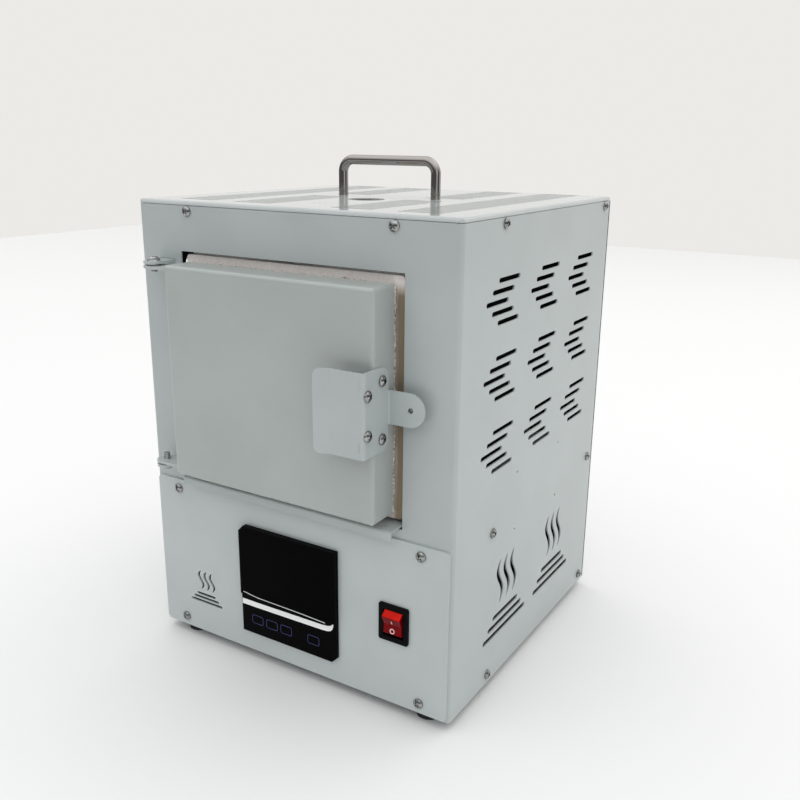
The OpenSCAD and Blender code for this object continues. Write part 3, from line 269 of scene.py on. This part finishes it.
twin = bmesh.ops.duplicate(tool, geom=tool.verts[:] + tool.edges[:] + tool.faces[:])["geom"]
bmesh.ops.translate(tool, vec=(wrap_high.x * 2, 0, 0), verts=verts_of(twin))
bmesh.ops.translate(tool, vec=(wrap_low.x, 0, 0), verts=tool.verts)
for side in (-1, 1):
    for middle in side_signs:
        fill_in(plug, (sheet_thick, 0.044, 0.042),
                (side * (wrap_high.x - sheet_thick / 2), middle, foot_rise + 0.0818))
inner_x, inner_y = wrap_high.x - sheet_thick + skin_depth, wrap_low.y + sheet_thick - skin_depth
repunched("casing_sheet", "casing_wrap", plug, tool, casing_paint,
          lambda spot: abs(spot.x) < inner_x and spot.y > inner_y)

# ---- Control panel sheet ----
# A separate flat plate, screwed over the front of the casing below the door. A
# small sign for heat is punched through it at the left.
panel_low, panel_high = (Vector(corner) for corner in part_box("control_panel"))
plug = bmesh.new()
tool = bmesh.new()
sign_x, sign_z = -0.0938, foot_rise + 0.0295
heat_sign(tool, sign_x, aside=0.0010, base=sign_z, bar=0.035, bar_width=0.0024, pitch=0.0035,
          wave_height=0.0176, wave_pitch=0.0062, wave_width=0.0030, deep=0.006)
bmesh.ops.translate(tool, vec=(0, panel_low.y, 0), verts=tool.verts)
fill_in(plug, (0.0380, panel_high.y - panel_low.y, 0.0320),
        (-0.0955, (panel_low.y + panel_high.y) / 2, sign_z + 0.0140))
repunched("control_sheet", "control_panel", plug, tool, panel_paint,
          lambda spot: spot.y > panel_high.y - skin_depth)

# ---- Rear panel sheet ----
# The back is closed by one screwed sheet. Two columns of slots behind the
# muffle let the heat out between the case and the sheet.
rear_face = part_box("rear_panel")[1][1]
rear_slot_x, rear_slot_long, rear_slot_wide, rear_pitch = 0.0489, 0.0462, 0.0031, 0.0149
plug = bmesh.new()
tool = bmesh.new()
for side in (-1, 1):
    for k in range(10):
        punch_bar(tool, (side * rear_slot_x, foot_rise + 0.209 + k * rear_pitch),
                  rear_slot_long, rear_slot_wide, punch_deep)
    fill_in(plug, (0.0280, sheet_thick, 0.1390),
            (side * 0.0850, rear_face - sheet_thick / 2, foot_rise + 0.27605))
bmesh.ops.translate(tool, vec=(0, rear_face - sheet_thick / 2, 0), verts=tool.verts)
repunched("rear_sheet", "rear_panel", plug, tool, casing_paint,
          lambda spot: spot.y < rear_face - sheet_thick + skin_depth)

# ---- Galvanised sheet inside the casing ----
# The base tray is left bare, so the zinc shows its spangle, a patchwork of grey
# crystals about 8 mm across.
galvanised, place = new_material("galvanised sheet")
spangle = add_node(galvanised, "TexVoronoi", {"Scale": 125}, {"Vector": place})
tone = add_node(galvanised, "ValToRGB", {"stops": [(0.1, "#979C9F"), (0.9, "#B3B7B9")]},
                {"Fac": spangle.outputs["Color"]})
shader = add_node(galvanised, "BsdfPrincipled", {"Metallic": 0.85, "Roughness": 0.48},
                  {"Base Color": tone.outputs["Color"]})
close_material(galvanised, shader)
paint_nodes(galvanised, "base_tray")

# ---- Muffle case ----
# Folded steel round the fibre, coloured near black: painted shade, so nothing
# bright shows through the vents.
painted_shade_black, place = new_material("painted shade, black muffle case")
tone, shade_grain = mottled(painted_shade_black, place, "#0E0E0F", "#1A1A1B", 240, detail=4, low_at=0.35)
shader = add_node(painted_shade_black, "BsdfPrincipled", {"Roughness": 0.9, "Specular IOR Level": 0.2},
                  {"Base Color": tone, "Normal": rough_skin(painted_shade_black, shade_grain, 0.3, 0.0002)})
close_material(painted_shade_black, shader)
paint_nodes(painted_shade_black, "muffle_case", "muffle_lid")


# ---- Fibre boards of the muffle and the door ----
# Vacuum-formed ceramic fibre, matte and slightly fluffy, nearly white when
# new and browned where the door's gap lets the heat out.
def fibre_material(name, pale, dark, stain, reach, grain=260, fade=None):
    """reach is where the stain starts and ends along x; fade, where it ends upwards, in metres."""
    material, place = new_material(name)
    wool = add_node(material, "TexNoise", {"Scale": grain, "Detail": 6, "Roughness": 0.7}, {"Vector": place})
    tone = add_node(material, "ValToRGB", {"stops": [(0.3, dark), (0.6, pale)]}, {"Fac": wool.outputs["Fac"]})
    patch = add_node(material, "TexNoise", {"Scale": 38, "Detail": 4, "Roughness": 0.6}, {"Vector": place})
    across = add_node(material, "SeparateXYZ", links={"Vector": place})
    edge = add_node(material, "MapRange",
                    {"From Min": reach[0], "From Max": reach[1], "To Min": -0.5, "To Max": 1.0},
                    {"Value": across.outputs["X"]})
    heat = add_node(material, "Math", {"operation": "MULTIPLY_ADD", 1: 0.6, "use_clamp": True},
                    {0: patch.outputs["Fac"], 2: edge.outputs["Result"]})
    if fade:
        below = add_node(material, "MapRange",
                         {"From Min": fade[0], "From Max": fade[1], "To Min": 1.0, "To Max": 0.0},
                         {"Value": across.outputs["Z"]})
        heat = add_node(material, "Math", {"operation": "MULTIPLY"},
                        {0: heat.outputs["Value"], 1: below.outputs["Result"]})
    burnt = add_node(material, "Mix", {"data_type": "RGBA", 7: colour(stain)},
                     {0: heat.outputs["Value"], 6: tone.outputs["Color"]})
    shader = add_node(material, "BsdfPrincipled", {"Roughness": 0.95, "Specular IOR Level": 0.15},
                      {"Base Color": burnt.outputs[2],
                       "Normal": rough_skin(material, wool.outputs["Fac"], 0.5, 0.0006)})
    return close_material(material, shader)


chamber_fibre = fibre_material("ceramic fibre, fired", "#EFEBE4", "#DDD6CB", "#CFC0A8", (0.2, 0.3))
collar_fibre = fibre_material("ceramic fibre, heat-stained", "#FFFBF7", "#F6EAE4", "#9C8D77", (0.088, 0.096),
                              fade=(0.322, 0.331))
paint_nodes(chamber_fibre, "floor_board", "roof_board", "left_board", "right_board", "back_board",
            "door_plug")
paint_nodes(collar_fibre, "front_collar")

# ---- Door board ----
# The door's board stands a few millimetres out of the pan. Its cut edge is
# frayed and crumbly, mottled pale and near black; the near black is painted
# shade of the gap.
board_low, board_high = (Vector(corner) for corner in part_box("door_board"))
middle = (board_low + board_high) / 2
side_clearance = 0.0003
cuts = 110
proud = 0.0030
edge_band = 0.004
edge_x, edge_z, rim_share = 0.093, 0.082, 0.94
fray, fray_wander, fray_back = 0.0013, 0.0012, 0.0009
board = bmesh.new()
bmesh.ops.create_cube(board, size=1)
bmesh.ops.scale(board, vec=board_high - board_low - Vector((2 * side_clearance, 0, 2 * side_clearance)),
                verts=board.verts)
bmesh.ops.translate(board, vec=middle, verts=board.verts)
bmesh.ops.bevel(board, geom=[e for e in board.edges if abs(e.verts[0].co.y - e.verts[1].co.y) > 0.01],
                offset=0.003, segments=4, profile=0.5, affect="EDGES", material=-1)
span = board_high - board_low
planes = [((0, 0, board_low.z + span.z * k / cuts), (0, 0, 1)) for k in range(1, cuts)]
planes += [((board_low.x + span.x * k / cuts, 0, 0), (1, 0, 0)) for k in range(1, cuts)]
planes += [((0, board_high.y - depth, 0), (0, 1, 0))
           for depth in (0.0005, 0.0011, 0.0017, 0.0023, 0.0029, 0.0034)]
for spot, normal in planes:
    bmesh.ops.bisect_plane(board, geom=board.verts[:] + board.edges[:] + board.faces[:],
                           plane_co=spot, plane_no=normal)
for vertex in board.verts:
    here = vertex.co
    near_edge = min(here.x - board_low.x, board_high.x - here.x, here.z - board_low.z, board_high.z - here.z)
    if here.y > board_high.y - proud and near_edge < edge_band:
        ragged = noise.noise(here * 420) + 0.6 * noise.noise(here * 1100)
        depth = (here.y - board_high.y + proud) / proud
        inward = Vector(((middle.x - here.x) / edge_x, 0, (middle.z - here.z) / edge_z))
        inward = Vector([part if abs(part) > rim_share else 0 for part in inward])
        vertex.co -= inward * (fray + fray_wander * ragged) * min(1, 3 * depth)
        vertex.co.y -= fray_back * depth * abs(ragged)
bmesh.ops.recalc_face_normals(board, faces=board.faces)
# Faces within the edge band take the cut-edge material, with its painted gap shade.
for face in board.faces:
    spot = face.calc_center_median() - middle
    face.material_index = int(abs(spot.x) > span.x / 2 - edge_band or abs(spot.z) > span.z / 2 - edge_band)
door_board = joined_piece("door_fibre_board", board, chamber_fibre)
door_board.data.materials.append(
    fibre_material("ceramic fibre, cut edge with painted gap shade", "#E4DED4", "#2E2720", "#C4BAAA", (0.3, 0.4), 520))
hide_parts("door_board")
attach(door_board, "door")


# ---- Hearth plate, exhaust tube and alumina pieces ----
# Fired clay and pressed alumina, dull and faintly grainy, cream to buff.
def fired_ceramic(name, pale, dark, rough):
    material, place = new_material(name)
    tone, grain = mottled(material, place, dark, pale, 900, low_at=0.35, high_at=0.65)
    shader = add_node(material, "BsdfPrincipled", {"Roughness": rough},
                      {"Base Color": tone, "Normal": rough_skin(material, grain, 0.25, 0.0003)})
    return close_material(material, shader)


paint_nodes(fired_ceramic("fireclay", "#D9CCB6", "#C7B89F", 0.85), "hearth_plate", "exhaust_tube")
paint_nodes(fired_ceramic("alumina", "#F2EEE4", "#E6E0D2", 0.55), "element_bushes", "thermocouple_sheath")


# ---- Heating coils ----
# Resistance wire, 1 mm thick, wound into a 5 mm coil that runs to and fro in
# the side boards. In use it turns dark grey-brown with oxide.
oxide, place = new_material("oxidised resistance wire")
tone = mottled(oxide, place, "#4A4542", "#736B63", 300)[0]
shader = add_node(oxide, "BsdfPrincipled", {"Metallic": 0.5, "Roughness": 0.7}, {"Base Color": tone})
close_material(oxide, shader)

wire_half = 0.0005
coil_radius = 0.0019
turn_pitch = 0.0021
turn_steps = 8
rod_half = 0.0025
run_count, run_pitch = 6, 0.015
bend_half, bend_steps = run_pitch / 2, 8
low, high = (Vector(corner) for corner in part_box("heating_elements"))
runs = [low.z + rod_half + run_pitch * i for i in range(run_count)]
front_end, back_end = low.y + 0.010, 0.0025
for side, coil_name in ((-1, "heating_coil_left"), (1, "heating_coil_right")):
    coil_x = side * (high.x - rod_half)
    path = [Vector((coil_x, high.y, runs[0]))]
    for i, level in enumerate(runs):
        end, bulge = (front_end, -1) if i % 2 == 0 else (back_end, 1)
        path.append(Vector((coil_x, end, level)))
        if i < run_count - 1:
            for k in range(1, bend_steps + 1):
                angle = math.pi * k / bend_steps
                path.append(Vector((coil_x, end + bend_half * bulge * math.sin(angle),
                                    level + bend_half * (1 - math.cos(angle)))))
    path.append(Vector((coil_x, high.y, runs[-1])))
    coil = bmesh.new()
    ring = None
    travelled = 0.0
    for a, b in zip(path, path[1:]):
        along = (b - a).normalized()
        outward = Vector((1, 0, 0))
        across = along.cross(outward)
        length = (b - a).length
        steps = max(1, int(length / turn_pitch * turn_steps))
        for k in range(steps):
            turned = math.tau * travelled / turn_pitch
            spoke = outward * math.cos(turned) + across * math.sin(turned)
            here = a + along * (length * k / steps) + spoke * coil_radius
            new_ring = [
                coil.verts.new(here + spoke * wire_half * math.cos(q) + along * wire_half * math.sin(q))
                for q in (0.0, math.tau / 4, math.tau / 2, 3 * math.tau / 4)]
            if ring:
                for m in range(4):
                    coil.faces.new((ring[m], ring[(m + 1) % 4], new_ring[(m + 1) % 4], new_ring[m]))
            ring = new_ring
            travelled += length / steps
    bmesh.ops.recalc_face_normals(coil, faces=coil.faces)
    coil_piece = joined_piece(coil_name, coil, oxide)
    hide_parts("heating_elements")
    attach(coil_piece, "root")


# ---- Screws, stud, nuts and washers ----
# Steel, cold headed and rolled, then plated with bright zinc. The plating is
# smooth with a faint blue cast, and dulls a little where fingers reach it.
zinc, place = new_material("bright zinc plate")
tone, haze = mottled(zinc, place, "#7C7E7F", "#B0B0AD", 420)
gloss = add_node(zinc, "MapRange", {"To Min": 0.05, "To Max": 0.14}, {"Value": haze})
shader = add_node(zinc, "BsdfPrincipled", {"Metallic": 1.0},
                  {"Base Color": tone, "Roughness": gloss.outputs["Result"]})
close_material(zinc, shader)
paint_nodes(zinc, "casing_screws", "latch_screws", "catch_stud", "catch_nut", "handle_screws", "foot_screws",
            "foot_nuts", "hinge_washers", "inlet_pins")

# ---- Hinge screws ----
# M5 screws stand in for hinge pins. Their threads, 0.8 mm apart, show below
# the ears as fine rings.
threaded, place = new_material("bright zinc plate, threaded")
rings = add_node(threaded, "TexWave", {"bands_direction": "Z", "Scale": 196}, {"Vector": place})
shader = add_node(threaded, "BsdfPrincipled",
                  {"Base Color": colour("#A9AAA8"), "Metallic": 1.0, "Roughness": 0.2},
                  {"Normal": rough_skin(threaded, rings.outputs["Fac"], 0.9, 0.0004)})
close_material(threaded, shader)
paint_nodes(threaded, "hinge_screws")


# ---- Carry handle ----
# Stainless rod, bent cold and polished along its length, so it mirrors the
# room with a soft drawn-out streak.
stainless, place = new_material("polished stainless steel")
streak = add_node(stainless, "Mapping", {"Scale": (25, 900, 900)}, {"Vector": place})
lines = add_node(stainless, "TexNoise", {"Scale": 1, "Detail": 2}, {"Vector": streak.outputs["Vector"]})
gloss = add_node(stainless, "MapRange", {"To Min": 0.05, "To Max": 0.13}, {"Value": lines.outputs["Fac"]})
shader = add_node(stainless, "BsdfPrincipled", {"Base Color": colour("#9C9894"), "Metallic": 1.0},
                  {"Roughness": gloss.outputs["Result"]})
close_material(stainless, shader)
paint_nodes(stainless, "carry_handle")

# ---- Brass and aluminium inside ----
# Turned brass clamps and spade tabs, an extruded heat sink and a cast
# thermocouple head. All are bare.
brass, place = new_material("turned brass")
tone = mottled(brass, place, "#B08E4C", "#CDAF68", 200)[0]
shader = add_node(brass, "BsdfPrincipled", {"Metallic": 1.0, "Roughness": 0.35}, {"Base Color": tone})
close_material(brass, shader)
paint_nodes(brass, "element_clamps", "rocker_tabs")

aluminium, place = new_material("bare aluminium")
tone = mottled(aluminium, place, "#A6A8AA", "#BEC0C2", 500)[0]
shader = add_node(aluminium, "BsdfPrincipled", {"Metallic": 1.0, "Roughness": 0.5}, {"Base Color": tone})
close_material(aluminium, shader)
paint_nodes(aluminium, "heat_sink", "thermocouple_head")


# ---- Moulded plastic ----
# ABS and polycarbonate mouldings: the controller's housing, the switch frame
# and the mains inlet in black, the relay and terminal block in off-white.
def moulded(name, low, high, rough, sheen=0.5):
    """Spark-eroded mould grain, 0.8 mm."""
    material, place = new_material(name)
    tone, grain = mottled(material, place, low, high, 1250, detail=1, low_at=0.4, high_at=0.6)
    shader = add_node(material, "BsdfPrincipled",
                      {"Roughness": rough, "IOR": 1.53, "Specular IOR Level": sheen},
                      {"Base Color": tone, "Normal": rough_skin(material, grain, 0.12, 0.0001)})
    return close_material(material, shader)


black_moulding = moulded("black ABS, moulded", "#030304", "#060607", 0.36, 0.05)
paint_nodes(black_moulding, "controller_body", "controller_clamps", "rocker_frame", "power_inlet")
paint_nodes(moulded("off-white moulding", "#DCDAD1", "#E4E2DA", 0.5), "relay", "terminal_block")
paint_nodes(moulded("black ABS, glossy", "#010102", "#020203", 0.16, 0.03), "controller_bezel")

# ---- Controller window ----
# Smoked polycarbonate over an unlit display. It is nearly black, with a
# sharp reflection and the faint ripple of a moulded sheet.
smoked, place = new_material("smoked polycarbonate")
ripple = add_node(smoked, "TexNoise", {"Scale": 45, "Detail": 1}, {"Vector": place})
shader = add_node(smoked, "BsdfPrincipled",
                  {"Base Color": colour("#010101"), "Roughness": 0.04, "IOR": 1.58,
                   "Specular IOR Level": 0.02},
                  {"Normal": rough_skin(smoked, ripple.outputs["Fac"], 0.05, 0.0003)})
close_material(smoked, shader)
paint_nodes(smoked, "controller_window")

# ---- Controller strip, edge line and keys ----
# A white strip and four touch fields, screen printed on the film below the
# window, and a light grey band along the window's lower edge: a painted highlight.
def printed_ink(name, low, high, rough=0.45):
    """Screen ink, slightly uneven where the mesh left it thinner."""
    material, place = new_material(name)
    tone = mottled(material, place, low, high, 1800, detail=1, low_at=0.35, high_at=0.65)[0]
    shader = add_node(material, "BsdfPrincipled", {"Roughness": rough}, {"Base Color": tone})
    return close_material(material, shader)


def printed_band(name, face, stations, material):
    """A printed band 0.2 mm thick; a station is x with its lower and upper z."""
    band = bmesh.new()
    first = stations[0]
    front = [band.edges.new([band.verts.new((first[0], face, z)) for z in first[1:]])]
    for here, there in zip(stations, stations[1:]):
        grown = bmesh.ops.extrude_edge_only(band, edges=front)["geom"]
        tips = sorted(verts_of(grown), key=lambda v: v.co.z)
        for tip, level in zip(tips, there[1:]):
            tip.co = (there[0], face, level)
        front = [g for g in grown if isinstance(g, bmesh.types.BMEdge)]
    bmesh.ops.recalc_face_normals(band, faces=band.faces)
    if band.faces[0].normal.y > 0:
        bmesh.ops.reverse_faces(band, faces=band.faces)
    bmesh.ops.solidify(band, geom=band.faces[:], thickness=0.0002)
    bmesh.ops.recalc_face_normals(band, faces=band.faces)
    return joined_piece(name, band, material)


panel_front = panel_low.y
film_face = panel_front - 0.0025
window_face = film_face - 0.0015
ink_thick = 0.0002
strip_piece = printed_band("controller_strip", film_face - ink_thick, (
    (-0.0500, 0.0519, 0.0566), (-0.0330, 0.0520, 0.0566), (0.0310, 0.0529, 0.0574),
    (0.0365, 0.0533, 0.0579), (0.0395, 0.0543, 0.0588), (0.0412, 0.0560, 0.0602),
    (0.0421, 0.0585, 0.0617), (0.0425, 0.0612, 0.0622),
), printed_ink("white screen ink", "#F0F0EE", "#F8F8F6"))
# A painted highlight: a light grey line where the window's lower lip catches the light.
edge_highlight_piece = printed_band("window_edge_highlight", window_face - ink_thick, (
    (-0.0474, 0.0636, 0.0642), (-0.0440, 0.0634, 0.0640), (-0.0400, 0.0627, 0.0633),
    (-0.0320, 0.0619, 0.0625), (-0.0100, 0.0616, 0.0622), (0.0110, 0.0613, 0.0619), (0.0354, 0.0604, 0.0610),
), printed_ink("painted highlight, window edge", "#C9CCCE", "#DDE0E1", 0.3))

key_wide, key_high, key_z = 0.0115, 0.0078, 0.0405
keys = bmesh.new()
for key_x in (-0.0344, -0.0195, -0.0048, 0.0226):
    outline = bmesh.ops.create_grid(keys, x_segments=1, y_segments=1, size=0.5)["verts"]
    bmesh.ops.scale(keys, vec=(key_wide, key_high, 1), verts=outline)
    bmesh.ops.rotate(keys, cent=(0, 0, 0), matrix=Matrix.Rotation(math.pi / 2, 3, "X"), verts=outline)
    bmesh.ops.translate(keys, vec=(key_x, film_face - 0.00012, key_z), verts=outline)
bmesh.ops.bevel(keys, geom=keys.verts[:], offset=0.0016, segments=3, profile=0.5,
                affect="VERTICES", material=-1)
rims = set(bmesh.ops.inset_individual(keys, faces=keys.faces[:], thickness=0.0004)["faces"])
bmesh.ops.delete(keys, geom=[f for f in keys.faces if f not in rims], context="FACES")
key_piece = joined_piece("touch_keys", keys, printed_ink("violet screen ink", "#33336E", "#3E3E80", 0.5))
for piece in (strip_piece, edge_highlight_piece, key_piece):
    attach(piece, "root")


# ---- Rocker and its marks ----
# Translucent red polycarbonate, moulded with a shallow valley and sloping ends.
# Faces that look up and forward get a bright red copy: painted light over a
# shaded dark red. The circle and the bar are pad printed.
def red_plastic(name, low, high):
    material, place = new_material(name)
    tone = mottled(material, place, low, high, 160, detail=2)[0]
    shader = add_node(material, "BsdfPrincipled",
                      {"Roughness": 0.22, "IOR": 1.58, "Specular IOR Level": 0.06}, {"Base Color": tone})
    return close_material(material, shader)


pivot = Vector((0.0963, panel_front + 0.00075, 0.0780))
rocker_tilt = math.radians(10)
rocker_wide = 0.0156
valley_out, crest_up, crest_out = 0.0035, 0.00723, 0.00533
rocker = bmesh.new()
profile = [rocker.verts.new((-rocker_wide / 2, -out, up)) for up, out in (
    (0.0, valley_out), (crest_up, crest_out), (0.0105, 0.0004), (0.0104, -0.0020), (0.0060, -0.0046),
    (-0.0060, -0.0046), (-0.0104, -0.0020), (-0.0105, 0.0004), (-crest_up, crest_out))]
side_face = rocker.faces.new(profile)
grown = bmesh.ops.extrude_face_region(rocker, geom=[side_face])["geom"]
bmesh.ops.translate(rocker, vec=(rocker_wide, 0, 0), verts=verts_of(grown))
bmesh.ops.recalc_face_normals(rocker, faces=rocker.faces)
rounded = []
for edge in rocker.edges:
    out = max(-v.co.y for v in edge.verts)
    if out > 0.0052 or (edge.verts[0].co.x == edge.verts[1].co.x and out > 0.003):
        rounded.append(edge)
bmesh.ops.bevel(rocker, geom=rounded, offset=0.0005, segments=3, profile=0.5, affect="EDGES", material=-1)
# Upward, forward faces take the bright red copy: painted light.
for face in rocker.faces:
    face.material_index = 1 if abs(face.normal.z) > 0.6 and face.normal.y < -0.3 else 0
bmesh.ops.rotate(rocker, cent=(0, 0, 0), matrix=Matrix.Rotation(rocker_tilt, 3, "X"), verts=rocker.verts)
bmesh.ops.translate(rocker, vec=pivot, verts=rocker.verts)
rocker_piece = joined_piece("rocker_moulding", rocker, red_plastic("red polycarbonate", "#6E0208", "#7E030A"))
rocker_piece.data.materials.append(red_plastic("red polycarbonate, painted light on upward faces", "#C81004", "#DC1C06"))
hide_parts("rocker_button")
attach(rocker_piece, "rocker")

slope = math.atan((crest_out - valley_out) / crest_up)
mark_lift = 0.00006
ring_out = 0.0048
marks = bmesh.new()
bar = bmesh.ops.create_grid(marks, x_segments=1, y_segments=1, size=0.5)["verts"]
bmesh.ops.scale(marks, vec=(0.0007, 0.0028, 1), verts=bar)
bmesh.ops.translate(marks, vec=(0, 0.0030, mark_lift), verts=bar)
bmesh.ops.rotate(marks, cent=(0, 0, 0), matrix=Matrix.Rotation(math.pi / 2 + slope, 3, "X"), verts=bar)
spoke = [marks.verts.new((r, -ring_out, mark_lift)) for r in (0.00145, 0.0021)]
bmesh.ops.spin(marks, geom=spoke + [marks.edges.new(spoke)], cent=(0, -ring_out, 0), axis=(0, 0, 1),
               angle=math.tau, steps=32, use_merge=True, use_duplicate=False)
ring = [v for v in marks.verts if v not in bar]
bmesh.ops.rotate(marks, cent=(0, 0, 0), matrix=Matrix.Rotation(math.pi / 2 - slope, 3, "X"), verts=ring)
bmesh.ops.translate(marks, vec=(0, -valley_out, 0), verts=marks.verts)
bmesh.ops.rotate(marks, cent=(0, 0, 0), matrix=Matrix.Rotation(rocker_tilt, 3, "X"), verts=marks.verts)
bmesh.ops.translate(marks, vec=pivot, verts=marks.verts)
bmesh.ops.recalc_face_normals(marks, faces=marks.faces)
mark_piece = joined_piece("rocker_marks", marks, printed_ink("white pad ink", "#F0D4D2", "#F6E0DE"))
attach(mark_piece, "rocker")

# ---- Feet ----
# Moulded rubber, matte black, dusty where it meets the bench.
rubber, place = new_material("moulded rubber")
tone, dust = mottled(rubber, place, "#151515", "#242423", 700, low_at=0.35)
shader = add_node(rubber, "BsdfPrincipled", {"Roughness": 0.8},
                  {"Base Color": tone, "Normal": rough_skin(rubber, dust, 0.3, 0.0002)})
close_material(rubber, shader)
paint_nodes(rubber, "feet")

# ---- Bench, wall and light ----
# White bench, pale wall, bright ceiling. A soft window behind the right corner
# leaves the front in open shade, with the shadow to the left. A lit doorway at
# the front right mirrors in the plated and polished metal.
for name, corners, tint in (
    ("bench", ((-3, -3, 0), (3, -3, 0), (3, 3, 0), (-3, 3, 0)), "#EBEBEA"),
    ("wall", ((-6, 3, -1), (6, 3, -1), (6, 3, 5), (-6, 3, 5)), "#ECEAE7"),
):
    flat_paint = new_material(name + " paint")[0]
    if name == "wall":
        shader = add_node(flat_paint, "Emission", {"Color": colour(tint)})
    else:
        shader = add_node(flat_paint, "BsdfPrincipled", {"Base Color": colour(tint), "Roughness": 0.8})
    close_material(flat_paint, shader)
    flat = bmesh.new()
    flat.faces.new([flat.verts.new(c) for c in corners])
    joined_piece(name, flat, flat_paint)

world = bpy.data.worlds.new("room")
bpy.context.scene.world = world
world.use_nodes = True
world.node_tree.nodes.clear()
direction = add_node(world, "TexCoord").outputs["Generated"]
height = add_node(world, "SeparateXYZ", links={"Vector": direction}).outputs["Z"]
overhead = add_node(world, "MapRange", {"From Min": 0.18, "From Max": 0.72, "To Min": 0.16, "To Max": 1.48},
                    {"Value": height})
towards = add_node(world, "VectorMath", {"operation": "DOT_PRODUCT", 1: (0.82, -0.54, 0.18)}, {0: direction})
doorway = add_node(world, "MapRange", {"From Min": 0.92, "From Max": 0.97, "To Min": 0.0, "To Max": 1.0},
                   {"Value": towards.outputs["Value"]})
room = add_node(world, "Math", {"operation": "MAXIMUM"}, {0: overhead.outputs[0], 1: doorway.outputs[0]})
seen = add_node(world, "Mix", {"data_type": "FLOAT", 3: 0.87},
                {0: add_node(world, "LightPath").outputs["Is Camera Ray"], 2: room.outputs[0]})
sky = add_node(world, "Background", {"Color": (0.98, 0.99, 1.0, 1)}, {"Strength": seen.outputs[0]})
add_node(world, "OutputWorld", links={"Surface": sky.outputs[0]})
lamp_spot, lamp_aim = Vector((0.9, 1.9, 2.5)), Vector((0, 0, 0.15))
lamp_data = bpy.data.lights.new("window", "AREA")
lamp_data.size = 2.4
lamp_data.energy = 11
lamp = bpy.data.objects.new("window", lamp_data)
lamp.matrix_world = (Matrix.Translation(lamp_spot)
                     @ (lamp_aim - lamp_spot).to_track_quat("-Z", "Y").to_matrix().to_4x4())
bpy.context.scene.collection.objects.link(lamp)
